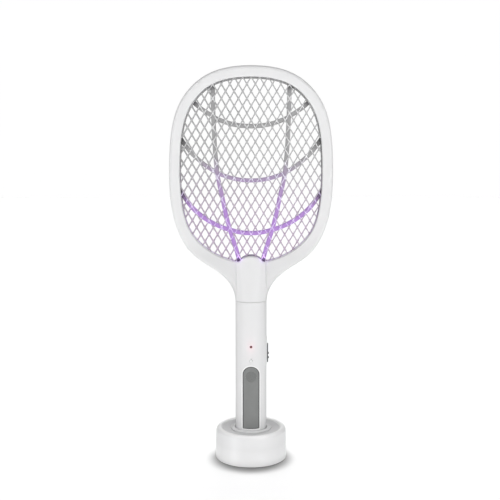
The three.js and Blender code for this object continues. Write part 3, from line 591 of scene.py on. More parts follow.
NECK_T = np.array([
    [186.9, 18.2, 18.2, 2.0], [195, 18.0, 17.85, 2.1], [206, 17.7, 17.0, 2.4], [219, 17.2, 15.3, 2.9], [231, 16.7, 13.8, 3.2], [244, 16.2, 12.6, 3.4],
])
FLARE_T = np.array([
    [186.9, 18.2, 2.0], [192, 17.6, 2.0], [197, 16.0, 2.05], [203.4, 13.6, 2.3], [210.8, 11.8, 2.9], [217.1, 10.9, 3.6], [222.6, 10.5, 4.6], [227.5, 10.3, 6.0], [236, 10.2, 8.0],
])


def head_height(x, z, d_out, d_in):
    """How far the head's surface stands in front of the middle plane."""
    ax = np.abs(x)
    share = d_out / np.maximum(d_out + d_in, 1e-6)
    face = HEAD_Y - 0.35 * (2 * share - 1) ** 2
    w, n = 4.6, 2.9
    t = np.clip(d_out / w, 0, 1)
    ring = face * (1 - (1 - t) ** n) ** (1 / n)
    rx = np.interp(z, half_width_z[_low], half_width_x[_low])
    ry = np.interp(z, FLARE_T[:, 0], FLARE_T[:, 1])
    nn = np.interp(z, FLARE_T[:, 0], FLARE_T[:, 2])
    u = np.clip(ax / rx, 0, 1)
    flare = ry * (1 - u**nn) ** (1 / nn)
    b = smooth(213, 243, z)
    h = flare * (1 - b) + ring * b
    r = 1.1
    t = np.clip(d_in, 0, r)
    h = h - (r - np.sqrt(np.maximum(r * r - (r - t) ** 2, 0))) * (d_in < r)
    # the neck's domed end
    tx = np.interp(z, NECK_T[:, 0], NECK_T[:, 1])
    ty = np.interp(z, NECK_T[:, 0], NECK_T[:, 2])
    tn = np.interp(z, NECK_T[:, 0], NECK_T[:, 3])
    u = np.clip(ax / tx, 0, 1)
    tongue = ty * (1 - u**tn) ** (1 / tn)
    r = 1.8
    t = np.clip(d_in, 0, r)
    tongue = tongue - (r - np.sqrt(np.maximum(r * r - (r - t) ** 2, 0))) * (d_in < r)
    tongue = np.where(z < 246, tongue, 0)
    k = 0.02 + 0.8 * smooth(190, 208, z)
    h = np.maximum(h, tongue) + np.maximum(k - np.abs(h - tongue), 0) ** 2 / (4 * k) * (z < 246)
    # a soft crease along each side of the tongue
    h = h - 1.5 * np.exp(-(((ax - 16.8) / 0.8) ** 2)) * smooth(191, 200, z) * (1 - smooth(233, 241, z))
    # small round at the seam with the handle
    r = 0.4
    t = np.clip(z - NECK, 0, r)
    h = h - (r - np.sqrt(np.maximum(r * r - (r - t) ** 2, 0))) * (z - NECK < r)
    return h


def head_columns():
    """Pairs of points (window edge, outside edge) round the head, as two arrays, and which columns end on the neck's seam."""
    parts = [(0, 25, 0, 28, 96), (25, 28, 28, 32, 16), (28, 31, 32, 36, 18), (31, 32, 36, 38, 12), (32, 33, 38, 40, 16)]
    a, b, seam = [], [], []
    for i0, i1, o0, o1, n in parts:
        a.append(resample(inner_half[i0 * PER : i1 * PER + 1], n)[:-1])
        b.append(resample(outer_half[o0 * PER : o1 * PER + 1], n)[:-1])
        seam += [False] * n
    n = 24
    a.append(resample(inner_half[33 * PER :], n))
    th = np.linspace(0, math.pi / 2, n + 1)
    b.append(np.stack([HANDLE_R * np.cos(th), np.full(n + 1, NECK)], 1))
    seam += [True] * (n + 1)
    a, b, seam = np.vstack(a), np.vstack(b), np.array(seam)
    flip = np.array([-1, 1])
    a = np.vstack([a, a[::-1][1:-1] * flip])
    b = np.vstack([b, b[::-1][1:-1] * flip])
    seam = np.concatenate([seam, seam[::-1][1:-1]])
    return a, b, seam


def head_shell(name, side, mat):
    """One half of the head, a moulded shell: side -1 is the front."""
    A, B, seam = head_columns()
    w, n = 4.6, 2.9
    phis = np.radians([0, 2.5, 6, 11, 17, 24, 32, 41, 51, 62, 75, 90])
    edge = w * (1 - np.cos(phis) ** (2 / n))
    edge[-1] = w
    edge = edge[::-1]
    lip = np.array([0, 0.05, 0.17, 0.36, 0.62, 0.95, 1.35, 1.85])
    mid = np.linspace(0, 1, 22)[1:-1]
    cols = []
    for i in range(len(A)):
        a, b = A[i], B[i]
        L = np.linalg.norm(b - a)
        f = np.concatenate([lip, 1.85 + (L - w - 1.85) * mid, L - edge]) / L
        cols.append(a[None] + (b - a)[None] * f[:, None])
    top = np.array(cols)
    nu, nt = top.shape[:2]
    flat = top.reshape(-1, 2)
    d_out = distance(flat, OUT_FULL)
    d_in = distance(flat, WINDOW, True)
    h = head_height(flat[:, 0], flat[:, 1], d_out, d_in).reshape(nu, nt)
    h = np.maximum(h, SPLIT + 0.02)
    P = []
    for i in range(nu):
        a, b = A[i], B[i]
        L = np.linalg.norm(b - a)
        row = [(top[i, j, 0], h[i, j], top[i, j, 1]) for j in range(nt)]
        # the underside, from the outside edge back to the window
        under = [0.0, 1.75, 1.8, 3.0] + list(np.linspace(4.5, L - 1.7, 6)) + [L - 1.55, L - 1.5, L - 0.75, L]
        pts = np.array([b + (a - b) * (d / L) for d in under])
        hh = np.interp([1 - d / L for d in under], np.linspace(0, 1, nt) * 0 + np.linalg.norm(top[i] - a, axis=1) / L, h[i])
        for k, d in enumerate(under):
            if k < 2 and not seam[i]:
                y = SPLIT
            elif k >= len(under) - 3:
                y = LIP_Y
            else:
                y = max(hh[k] - 1.9, SPLIT)
            row.append((pts[k, 0], min(y, max(hh[k] - 0.05, SPLIT)), pts[k, 1]))
        P.append(row)
    verts = [(x, side * y, z) for row in P for x, y, z in row]
    ob = mesh_object(name, verts, grid(P, True, True), mat, 40)
    return ob


head_front = head_shell("front_head_shell", -1, WHITE_HEAD)
give(head_front, "swatter", ["head_front_frame"])
head_rear = head_shell("rear_head_shell", 1, WHITE_HEAD)


def cylinder_cutter(r, a, b, x, z, seg=32):
    return lathe("cutter", [(0, a), (r, a), (r, b), (0, b)], seg, None, (x, 0, z), "y")


boolean(head_rear, [cylinder_cutter(2.45, 7.2, 20, x, z) for x, z in POSTS], angle=40)
give(head_rear, "swatter", ["head_rear_frame"])


# ------------------------------------------------------------------ screws
def screw(name, node, body, at, axis, r, depth, height):
    """A cross-head screw: head of radius r whose crown is `height` long, pointing along axis ('y', 'z-')."""
    prof = [(0, 0), (0.62 * r, -0.02 * height), (0.86 * r, -0.14 * height), (0.97 * r, -0.34 * height), (r, -0.55 * height), (r, -height)]
    prof += [(0.42 * r, -height), (0.42 * r, -height - depth), (0, -height - depth - 0.3)]
    v, f = turned(prof, 40, (0, 0, 0), "z")
    ob = mesh_object(name, v, f, STEEL, 35)
    w, l = 0.2 * r, 0.62 * r
    cross = []
    for q in ((l, w), (w, l)):
        cross.append(prism("cutter", [(-q[0], -q[1]), (q[0], -q[1]), (q[0], q[1]), (-q[0], q[1])], -0.42 * height, 1, "xy"))
    boolean(ob, cross)
    turn = Matrix.Rotation(math.radians(-90), 4, "X") if axis == "y" else Matrix.Rotation(math.pi, 4, "X")
    ob.data.transform(Matrix.Translation(Vector(at) * MM) @ turn @ Matrix.Rotation(0.4 + at[0] * 0.05, 4, "Z"))
    give(ob, body, [node])
    return ob


for i, (x, z) in enumerate(POSTS):
    screw(f"head_screw_{i + 1}_cross", f"head_screw_{i + 1}", "swatter", (x, 9.3, z), "y", 2.0, 6, 1.8)
for i, z in enumerate(SCREW_ZS):
    screw(f"handle_screw_{i + 1}_cross", f"handle_screw_{i + 1}", "swatter", (0, 16.9, z), "y", 2.55, 8, 1.9)
BASE_SCREWS = [(33.5 * math.cos(math.radians(a)), 33.5 * math.sin(math.radians(a))) for a in (0, 180, 270)]
for i, (x, y) in enumerate(BASE_SCREWS):
    screw(f"base_screw_{i + 1}_cross", f"base_screw_{i + 1}", "dock", (x, y, 1.3), "z-", 2.6, 6, 0.7)


# ------------------------------------------------------------------ diamond meshes
_rail = spline(RAIL, 8, (44.3, 446), (11.4, 226))
RIB_LINES = [_rail, _rail * [-1, 1]]
for _arc in ARCS:
    _full = [(-x, z) for x, z in _arc[:0:-1]] + _arc
    _end = np.array(_full[-1]) * 2 - np.array(_full[-2])
    RIB_LINES.append(spline(_full, 8, _end * [-1, 1], _end))


def mesh_sheet(name, node, y0, y1, width, rim_in, rim_out, seg=4, lit=False, drift=(0.0, 0.0)):
    """A stamped diamond sheet: every strand of the lattice, a little wider at the crossings, in a flat rim.

    The lattice of the sheets behind is a little larger, so that the three read as one grid from the front.
    """
    grow = (900 + (y0 + y1) / 2) / 894.2
    clip = offset_loop(WINDOW, 1.2)
    clip_inside = clip
    d = np.array([PX / 2, PZ / 2])
    length = np.linalg.norm(d)
    yc, half = (y0 + y1) / 2, (y1 - y0) / 2
    parts = []
    for sign in (1, -1):
        u = np.array([sign * d[0], d[1]]) / length
        nrm = np.array([u[1], -u[0]])
        for k in range(-40, 41):
            c = np.array([k * PX, CROSS_Z])
            t = np.arange(-30 * seg, 30 * seg + 1) / seg
            line = c + u * (t * length)[:, None]
            inn = inside(line, clip_inside)
            if inn.sum() < 2:
                continue
            idx = np.where(inn)[0]
            for run in np.split(idx, np.where(np.diff(idx) > 1)[0] + 1):
                if len(run) < 2:
                    continue
                lo, hi = run[0] - 1, run[-1] + 1
                pts, wid = [], []
                for j in range(lo, hi + 1):
                    p = line[j]
                    if j in (lo, hi):
                        # move the end onto the rim's centre
                        q = line[run[0]] if j == lo else line[run[-1]]
                        f0, f1 = 0.0, 1.0
                        for _ in range(12):
                            m = (f0 + f1) / 2
                            if inside((q + (p - q) * m)[None], clip_inside)[0]:
                                f0 = m
                            else:
                                f1 = m
                        p = q + (p - q) * f0
                    pts.append(p)
                    near = abs(t[j] - round(t[j])) if 0 <= j < len(t) else 0.5
                    wid.append(width * (1.22 - 0.44 * min(near * 2, 1)))
                if np.linalg.norm(pts[0] - pts[-1]) < 1.5:
                    continue
                verts = []
                for p, w in zip(pts, wid):
                    for a, b in ((-0.5, -0.25), (-0.28, -1), (0.28, -1), (0.5, -0.25), (0.5, 0.25), (0.28, 1), (-0.28, 1), (-0.5, 0.25)):
                        q = p + nrm * (w * a)
                        qx = -0.6 + (q[0] + 0.6) * grow + drift[0] + drift[1] * q[0]
                        qz = 327.6 + (q[1] - 327.6) * grow
                        verts.append((qx, yc + b * half * (1.0 if sign > 0 else 0.985), qz))
                m = len(pts)
                faces = [(i * 8 + j, (i + 1) * 8 + j, (i + 1) * 8 + (j + 1) % 8, i * 8 + (j + 1) % 8) for i in range(m - 1) for j in range(8)]
                faces += [tuple(range(8)), tuple(range((m - 1) * 8, m * 8))]
                parts.append((verts, faces))
    v, f = joined(parts)
    ob = mesh_object(name, v, f, MESH_METAL, 50)
    # painted light: the strands over the ribs take the paler lit copy
    if lit:
        ob.data.materials.append(MESH_LIT)
        va = np.array(v)[:, [0, 2]]
        mid = np.array([va[list(q)].mean(axis=0) for q in f])
        near = np.min([distance(mid, line) for line in RIB_LINES], axis=0)
        ob.data.polygons.foreach_set("material_index", (near < 2.0).astype(np.int32))
    give(ob, "swatter", [node])
    inn_l, out_l = offset_loop(WINDOW, -rim_in), offset_loop(WINDOW, rim_out)
    P = []
    for a, b in zip(inn_l, out_l):
        m = (a * 0.85 + b * 0.15)
        P.append([(a[0], y0 + 0.15, a[1]), (m[0], y0 - 0.05, m[1]), (b[0], y0 - 0.05, b[1]), (b[0], y1 + 0.05, b[1]), (m[0], y1 + 0.05, m[1]), (a[0], y1 - 0.15, a[1])])
    rim = mesh_object(name + "_rim", [q for row in P for q in row], grid(P, True, True), RIM_PAINTED_SHADE, 50)
    rim.data.materials.append(RIM_PAINTED_LIGHT_AND_SHADE)
    # painted shade by the tongue's arch; painted light and shade round the rest
    mid = np.array([[q.center.x, q.center.z] for q in rim.data.polygons]) / MM
    rim.data.polygons.foreach_set("material_index", ((np.abs(mid[:, 0]) > 16.2) | (mid[:, 1] > 252)).astype(np.int32))
    give(rim, "swatter")
    return ob


mesh_sheet("front_diamond_mesh", "front_guard_mesh", -6.2, -5.4, 1.4, 0.55, 3.2, seg=9, lit=True)
mesh_sheet("rear_diamond_mesh", "rear_guard_mesh", 5.4, 6.2, 1.1, 0.55, 3.2, drift=(0.3, -0.0055))
mesh_sheet("live_diamond_grid", "hv_grid", -0.3, 0.3, 0.7, 0.3, 2.4)


# ------------------------------------------------------------------ spacer webs
def web(name, node, y0, y1):
    parts = []
    yc = (y0 + y1) / 2
    room = offset_loop(WINDOW, 3.4)

    def rib(line, slim=0.0):
        section = rounded_rect(4.7, y1 - y0 - slim, 0.7, 3)
        pts = resample(line, max(8, int(np.linalg.norm(np.diff(line, axis=0), axis=1).sum())))
        inn = inside(pts, room)
        pts = pts[inn]
        parts.append(sweep([(x, yc, z) for x, z in pts], section, up=(0, 1, 0)))

    for i, line in enumerate(RIB_LINES):
        rib(line, 0.12 if i > 1 else 0.0)
    ribs = sum(len(q) for _, q in parts)
    # rim between the two frames
    inn_l, out_l = offset_loop(WINDOW, -0.2), offset_loop(WINDOW, 3.6)
    P = [[(a[0], y0 + 0.3, a[1]), (b[0], y0 + 0.3, b[1]), (b[0], y1 - 0.3, b[1]), (a[0], y1 - 0.3, a[1])] for a, b in zip(inn_l, out_l)]
    parts.append(([q for row in P for q in row], grid(P, True, True)))
    v, f = joined(parts)
    ob = mesh_object(name, v, f, WEB, 50)
    for m in WEB_SHADES:
        ob.data.materials.append(m)
    # the ribs are shaded by the frame near their ends
    va = np.array(v)[:, [0, 2]]
    mid = np.array([va[list(q)].mean(axis=0) for q in f])
    depth = distance(mid, WINDOW, True)
    depth[~inside(mid, WINDOW)] = 0
    index = 4 - np.digitize(depth, (2.2, 3.8, 5.8, 8.5))
    index[ribs:] = 0
    ob.data.polygons.foreach_set("material_index", index.astype(np.int32))
    return give(ob, "swatter", [node])


web("front_web_ribs", "front_spacer_web", -5.1, -0.8)
web("rear_web_ribs", "rear_spacer_web", 0.8, 5.1)


# ------------------------------------------------------------------ handle
def half_tube(name, side, mat):
    """Half of the handle's tube: outside with small rounds at the ends and at the parting line."""
    nth = 96
    r = 0.45
    s = np.concatenate([[0, 0.04, 0.12, 0.25, r], np.linspace(r, math.pi * HANDLE_R - r, nth)[1:-1], math.pi * HANDLE_R - np.array([r, 0.25, 0.12, 0.04, 0])])
    zs = np.concatenate([[0, 0.04, 0.12, 0.25, 0.42], np.linspace(0.42, Z1 - Z0 - 0.42, 30)[1:-1], Z1 - Z0 - np.array([0.42, 0.25, 0.12, 0.04, 0])]) + Z0
    P = []
    gap = SPLIT / HANDLE_R
    for k in s:
        a = gap + (math.pi - 2 * gap) * k / (math.pi * HANDLE_R)
        e = min(k, math.pi * HANDLE_R - k)
        drop_a = r - math.sqrt(max(r * r - (r - min(e, r)) ** 2, 0))
        row = []
        for z in zs:
            ez = min(z - Z0, Z1 - z)
            drop_z = 0.42 - math.sqrt(max(0.42**2 - (0.42 - min(ez, 0.42)) ** 2, 0))
            R = HANDLE_R - max(drop_a, drop_z)
            row.append((R * math.cos(a), side * R * math.sin(a), z))
        for z in zs[::-1]:
            R = HANDLE_R - WALL
            row.append((R * math.cos(a), side * R * math.sin(a), z))
        P.append(row)
    faces = grid(P, False, True)
    n = len(zs)
    m = 2 * n
    for base in (0, (len(P) - 1) * m):
        for j in range(n - 1):
            faces.append((base + j, base + j + 1, base + m - 2 - j, base + m - 1 - j))
    return mesh_object(name, [q for row in P for q in row], faces, mat, 35)


def strip_outline(grow, corner=1.0, seg=40):
    """Outline of the grip inlay: square at the bottom, half round at the top, from the bottom right anticlockwise."""
    r = STRIP_W + grow
    bot = STRIP_BOT - grow
    c = max(0.05, corner + grow)
    top = STRIP_TOP - STRIP_W
    pts = []
    for k in range(7):
        a = math.radians(-90 + 90 * k / 6)
        pts.append((r - c + c * math.cos(a), bot + c + c * math.sin(a)))
    for z in np.linspace(bot + c, top, 30)[1:-1]:
        pts.append((r, z))
    for k in range(seg + 1):
        a = math.pi * k / seg
        pts.append((r * math.cos(a), top + r * math.sin(a)))
    for z in np.linspace(top, bot + c, 30)[1:-1]:
        pts.append((-r, z))
    for k in range(7):
        a = math.radians(180 + 90 * k / 6)
        pts.append((-r + c + c * math.cos(a), bot + c + c * math.sin(a)))
    for x in np.linspace(-r + c, r - c, 14)[1:-1]:
        pts.append((x, bot))
    return pts


def on_tube(x, z, R):
    return (x, -math.sqrt(max(R * R - x * x, 0)), z)


DROP = [(0, 2.5), (-0.55, 1.5), (-1.05, 0.5), (-1.42, -0.35), (-1.5, -0.95), (-1.25, -1.65), (-0.7, -2.2), (0, -2.4), (0.7, -2.2), (1.25, -1.65), (1.5, -0.95), (1.42, -0.35), (1.05, 0.5), (0.55, 1.5)]


def drop_outline(grow):
    p = offset_loop(np.array(DROP)[::-1], grow)
    return [(x, z + SENSOR_Z) for x, z in p]


def oblong(z0, z1, half, seg=16):
    pts = []
    for i in range(seg + 1):
        a = math.pi * i / seg
        pts.append((half * math.cos(a), z1 - half + half * math.sin(a)))
    for i in range(seg + 1):
        a = math.pi * i / seg
        pts.append((-half * math.cos(a), z0 + half - half * math.sin(a)))
    return pts


front = half_tube("front_handle_shell", -1, WHITE_SHELL)
relief = lathe("cutter", [(17.1, STRIP_BOT - 0.5), (22, STRIP_BOT - 0.5), (22, 112.4), (17.1, 112.4)], 160, None)
boolean(relief, [prism("cutter", strip_outline(0.3), -30, -5)], "INTERSECT")
boolean(
    front,
    [
        relief,
        cylinder_cutter(BUTTON_R + 0.16, -30, -10, 0, BUTTON_Z, 96),
        cylinder_cutter(1.6, -30, -10, 0, LED_Z, 32),
        prism("cutter", drop_outline(0.28), -30, -10),
        prism("cutter", oblong(110.7, 144.3, 6.7), 8, 30, "yz"),
    ],
)
give(front, "swatter", ["handle_front_shell"])
rear = half_tube("rear_handle_shell", 1, WHITE_SHELL)
boolean(
    rear,
    [prism("cutter", oblong(110.7, 144.3, 6.7), 8, 30, "yz")]
    + [cylinder_cutter(2.95, 14.9, 30, 0, z) for z in SCREW_ZS],
)
give(rear, "swatter", ["handle_rear_shell"])

# floors of the rear screw wells
for i, z in enumerate(SCREW_ZS):
    ob = lathe(
        f"screw_well_{i + 1}",
        [(3.4, 16.1), (3.4, 14.2), (1.3, 14.2), (1.3, 14.6), (2.95, 14.6), (2.95, 16.1)],
        32, WHITE, (0, 0, z), "y",
    )
    give(ob, "swatter")

# raised bevel round the inlay
prof = [(0.04, 17.5), (0.04, 18.4), (0.12, 18.56), (0.28, 18.64), (0.95, 18.64), (1.15, 18.56), (1.32, 18.38), (1.4, 18.1), (1.4, 17.9), (0.9, 17.5)]
loops = [strip_outline(g) for g, _ in prof]
P = [[on_tube(loops[j][i][0], loops[j][i][1], prof[j][1]) for j in range(len(prof))] for i in range(len(loops[0]))]
ob = mesh_object("inlay_bevel", [q for row in P for q in row], grid(P, True, True), WHITE_BEVEL, 50)
give(ob, "swatter")


# the grip inlay
def inlay():
    prof = [(-9.6, 17.35), (-6.5, 17.35), (-3.2, 17.35), (0.0, 17.35), (0.0, 17.6), (-0.08, 17.62), (-0.72, 17.62), (-0.74, 18.2), (-0.79, 18.36), (-0.9, 18.45), (-1.05, 18.49), (-1.3, 18.5)]
    prof += [(-g, 18.5) for g in (1.8, 2.6, 3.5, 4.4, 5.3, 6.2, 7.1, 8.0, 8.8, 9.6)]
    loops = [strip_outline(g) for g, _ in prof]
    n, m = len(loops[0]), len(prof)
    P = [[on_tube(loops[j][i][0], loops[j][i][1], prof[j][1]) for j in range(m)] for i in range(n)]
    faces = grid(P, True, False)
    faces += [tuple(i * m for i in range(n)), tuple(i * m + m - 1 for i in range(n))]
    ob = mesh_object("grip_inlay_skin", [q for row in P for q in row], faces, GRIP, 40)
    ob.data.materials.append(GRIP_GROOVE_SHADE)
    # painted shade on the groove's faces
    groove = np.zeros(len(faces), dtype=np.int32)
    for k, q in enumerate(faces[: n * (m - 1)]):
        if all(3 <= v % m <= 8 for v in q):
            groove[k] = 1
    ob.data.polygons.foreach_set("material_index", groove)
    boolean(ob, [cylinder_cutter(BUTTON_R + 0.14, -30, -10, 0, BUTTON_Z, 96)], angle=40)
    return give(ob, "swatter", ["grip_inlay"])


inlay()

# the push button: dished, with a finger pattern of small domes, and its flange and stem
prof = [(0, -18.12), (2.0, -18.13), (3.6, -18.17), (4.6, -18.24), (5.2, -18.34), (5.55, -18.42), (5.8, -18.43), (6.0, -18.34), (6.1, -18.1), (6.1, -14.3), (7.1, -14.3), (7.1, -13.2), (1.6, -13.2), (1.6, -9.9), (0, -9.9)]
parts = [turned(prof, 72, (0, 0, BUTTON_Z), "y")]
dots = [(0, 0)] + [(1.75 * math.cos(a), 1.75 * math.sin(a)) for a in np.arange(6) * math.pi / 3] + [(3.5 * math.cos(a), 3.5 * math.sin(a)) for a in np.arange(12) * math.pi / 6]
for x, z in dots:
    base = np.interp(math.hypot(x, z), [0, 2, 3.6, 4.6], [-18.12, -18.13, -18.17, -18.24])
    parts.append(turned([(0, base - 0.3), (0.22, base - 0.28), (0.44, base - 0.17), (0.6, base + 0.02), (0.6, base + 0.3), (0, base + 0.3)], 14, (x, 0, BUTTON_Z + z), "y"))
v, f = joined(parts)
ob = mesh_object("dished_button", v, f, BUTTON, 40)
give(ob, "zap_button", ["zap_button"])

# status lamp: a domed lens in its hole
ob = lathe("status_led_dome", [(0, -18.36), (0.5, -18.3), (0.9, -18.12), (1.18, -17.8), (1.3, -17.4), (1.3, -7.9), (0, -7.9)], 32, LED, (0, 0, LED_Z), "y")
give(ob, "swatter", ["status_led"])

# drop-shaped sensor window, domed
loops = [(offset_loop(np.array(DROP)[::-1], -k), y) for k, y in ((0, -16.3), (0, -18.0), (0.12, -18.2), (0.4, -18.32), (0.8, -18.36))]
P = [[(lp[i][0], y, lp[i][1] + SENSOR_Z) for lp, y in loops] for i in range(len(DROP))]
faces = grid(P, True, False)
n, m = len(DROP), len(loops)
faces += [tuple(i * m for i in range(n)), tuple(i * m + m - 1 for i in range(n))]
ob = mesh_object("sensor_drop_window", [q for row in P for q in row], faces, CLEAR, 50)
give(ob, "swatter", ["light_sensor_window"])

# bezel of the side switch: an oblong pad on the tube with a rounded edge and a slot
def side_pad():
    prof = [(-0.2, 16.3), (0.0, 18.2), (-0.1, 18.55), (-0.35, 18.82), (-0.75, 18.96), (-2.7, 19.0), (-3.0, 18.92), (-3.2, 18.7), (-3.35, 18.2), (-3.35, 16.3)]
    rings = []
    for g, R in prof:
        pts = np.array(oblong(111 - g, 144 + g, 6.4 + g, 24))
        rings.append([(math.sqrt(max(R * R - y * y, 0)), y, z) for y, z in resample(np.vstack([pts, pts[:1]]), 120)[:-1]])
    P = [[rings[j][i] for j in range(len(rings))] for i in range(120)]
    ob = mesh_object("side_switch_bezel", [q for row in P for q in row], grid(P, True, True), WHITE, 45)
    return give(ob, "swatter", ["switch_bezel"])


side_pad()

# the sliding switch: a rounded button with two grip ridges, and a dark track behind it
def slider():
    parts = []
    rings = []
    for g, x in ((0, 15.4), (0, 19.65), (-0.15, 19.95), (-0.45, 20.11), (-1.0, 20.15)):
        pts = oblong(113 - g, 136 + g, 2.65 + g, 12)
        rings.append([(x, y, z) for y, z in pts])
    n, m = len(rings[0]), len(rings)
    P = [[rings[j][i] for j in range(m)] for i in range(n)]
    faces = grid(P, True, False)
    faces += [tuple(i * m for i in range(n)), tuple(i * m + m - 1 for i in range(n))]
    parts.append(([q for row in P for q in row], faces))
    for z in (124.0, 119.0):
        sec = [(-0.85, -0.5), (-0.7, 0.35), (-0.4, 0.62), (0.4, 0.62), (0.7, 0.35), (0.85, -0.5)]
        path = [(20.5 - 0.35 * (abs(y) / 2.3) ** 4, y, z) for y in np.linspace(-2.3, 2.3, 13)]
        parts.append(sweep(path, sec, up=(1, 0, 0)))
    v = [(12.9, -1.2, 122.4), (15.7, -1.2, 122.4), (15.7, 1.2, 122.4), (12.9, 1.2, 122.4), (12.9, -1.2, 125.6), (15.7, -1.2, 125.6), (15.7, 1.2, 125.6), (12.9, 1.2, 125.6)]
    f = [(0, 1, 2, 3), (4, 5, 6, 7), (0, 1, 5, 4), (1, 2, 6, 5), (2, 3, 7, 6), (3, 0, 4, 7)]
    parts.append((v, f))
    v, f = joined(parts)
    ob = mesh_object("ridged_slider", v, f, SLIDER, 40)
    ob.data.materials.append(BLACK)
    first = len(parts[0][1])
    ridge = len(parts[1][1]) + len(parts[2][1])
    index = np.zeros(len(f), dtype=np.int32)
    index[first : first + ridge] = 1
    ob.data.polygons.foreach_set("material_index", index)
    return give(ob, "mode_slider", ["mode_slider"])


slider()

# end cap with its two contacts
cap = lathe(
    "handle_foot_cap",
    [(0, 18), (13.6, 18), (14.9, 18.1), (16.1, 18.5), (17.1, 19.2), (17.8, 20.2), (18.12, 21.3), (18.2, 22.4), (18.2, 25.7), (18.05, 26.0), (17.8, 26.1), (15.9, 26.1), (15.9, 29.6), (14.1, 29.6), (14.1, 20.6), (0, 20.6)],
    128, WHITE,
)
boolean(cap, [lathe("cutter", [(0, 15), (2.5, 15), (2.5, 23), (0, 23)], 32, None, (x, 0, 0)) for x in (-5, 5)])
give(cap, "swatter", ["handle_end_cap"])
for side, x in (("left", -5), ("right", 5)):
    ob = lathe(
        f"contact_disc_{side}",
        [(0, 18.12), (1.1, 18.06), (1.5, 18.0), (1.95, 18.02), (2.15, 18.15), (2.2, 18.4), (2.2, 20.9), (3.3, 20.9), (3.3, 21.8), (0, 21.8)],
        40, NICKEL, (x, 0, 0),
    )
    give(ob, "swatter", [f"charge_contact_{side}"])

# ------------------------------------------------------------------ dock
RX = 21.0
dock = lathe(
    "dock_body",
    [
        (41.6, 0.35), (41.85, 0.42), (41.97, 0.65), (41.99, 1.1), (41.3, 31.6), (41.18, 32.5), (40.9, 33.5), (40.45, 34.3), (39.8, 35.0), (38.9, 35.55), (37.9, 35.88), (37.0, 36.0),
        (35.8, 36.0), (35.3, 35.92), (34.9, 35.68), (34.55, 35.2), (34.1, 34.75), (33.4, 34.52), (32.5, 34.45),
        (26.0, 34.15), (24.2, 34.1), (24.0, 34.0), (23.85, 33.7), (23.5, 33.7), (23.35, 34.0), (23.1, 34.1), (18.9, 34.1), (18.9, 17.5), (18.7, 17.3), (0, 17.3),
        (0, 15.2), (RX, 15.2), (RX, 31.9), (38.2, 32.2), (39.3, 30.4), (39.9, 0.9), (40.3, 0.4),
    ],
    160, WHITE_DOCK, angle=28,
)
rect = lambda w, z0, z1, r: [(x, (z0 + z1) / 2 + y) for x, y in rounded_rect(w, z1 - z0, r, 6)]
boolean(
    dock,
    [prism("cutter", rect(10.2, 4.6, 9.4, 1.6), 37.5, 45)]
    + [lathe("cutter", [(0, 14), (1.35, 14), (1.35, 20), (0, 20)], 28, None, (x, 0, 0)) for x in (-5, 5)],
    angle=28,
)
give(dock, "dock", ["dock_housing"])
# the recessed top, a separate disc; its greyer colour is painted shade for the upward-facing dish
ob = lathe(
    "dock_top_dish",
    [(24.3, 34.16), (24.5, 34.3), (26.0, 34.34), (32.4, 34.62), (33.3, 34.72), (33.75, 34.86), (33.9, 34.7), (33.3, 34.5), (26.0, 34.18), (24.5, 34.14)],
    160, DISH,
)
give(ob, "dock")
ob = lathe(
    "socket_collar",
    [
        (18.95, 34.4), (23.8, 34.4), (23.9, 34.6), (23.88, 34.85), (23.7, 35.02), (23.4, 35.05), (22.9, 35.04), (22.72, 34.95), (22.6, 34.72), (22.3, 34.64), (22.0, 34.72), (21.88, 34.98), (21.7, 35.2),
        (21.4, 35.3), (19.8, 35.55), (19.35, 35.55), (19.05, 35.42), (18.92, 35.15), (18.9, 34.8),
    ],
    160, PALE,
)
give(ob, "dock", ["socket_trim_ring"])
FEET = [(33 * math.cos(math.radians(a)), 33 * math.sin(math.radians(a))) for a in (45, 135, 225, 315)]
plate = lathe("dock_bottom_plate", [(0, 1.1), (38.9, 1.1), (39.25, 1.2), (39.4, 1.5), (39.4, 3.1), (39.2, 3.4), (0, 3.4)], 128, WHITE_DOCK)
boolean(
    plate,
    [lathe("cutter", [(0, 0.5), (5.8, 0.5), (5.8, 2.2), (0, 2.2)], 40, None, (x, y, 0)) for x, y in FEET]
    + [lathe("cutter", [(0, 0.5), (2.9, 0.5), (2.9, 2.3), (0, 2.3)], 32, None, (x, y, 0)) for x, y in BASE_SCREWS]
    + [lathe("cutter", [(0, 0), (1.6, 0), (1.6, 5), (0, 5)], 20, None, (x, y, 0)) for x, y in BASE_SCREWS],
)
give(plate, "dock", ["dock_base_plate"])
for i, (x, y) in enumerate(FEET):
    ob = lathe(
        f"foot_pad_{i + 1}",
        [(0, 0.25), (2.6, 0.2), (3.1, 0.0), (4.5, 0.0), (5.0, 0.08), (5.35, 0.32), (5.5, 0.7), (5.5, 1.9), (0, 1.9)],
        40, RUBBER, (x, y, 0),
    )
    give(ob, "dock", [f"rubber_foot_{i + 1}"])
for side, x in (("left", -5), ("right", 5)):
    ob = lathe(
        f"sprung_pin_{side}",
        [(0, 9.5), (1.05, 9.5), (1.05, 16.7), (0.98, 17.1), (0.8, 17.42), (0.5, 17.62), (0, 17.7)],
        32, BRASS, (x, 0, 0),
    )
    give(ob, f"charge_pin_{side}", [f"charge_pin_{side}"])
# the charging inlet's steel shell with a tongue
shell = bevelled_box("inlet_shell", (-4.5, 34.2, 5.6), (4.5, 41.25, 8.8), 1.2, INLET, 4)
cutter = prism("cutter", rect(8.2, 6.0, 8.4, 1.0), 35.4, 44)
boolean(shell, [cutter], angle=40)
give(shell, "dock", ["usb_inlet"])
tongue = bevelled_box("inlet_tongue", (-3.1, 35.2, 6.9), (3.1, 40.2, 7.5), 0.2, BLACK, 2)
give(tongue, "dock")

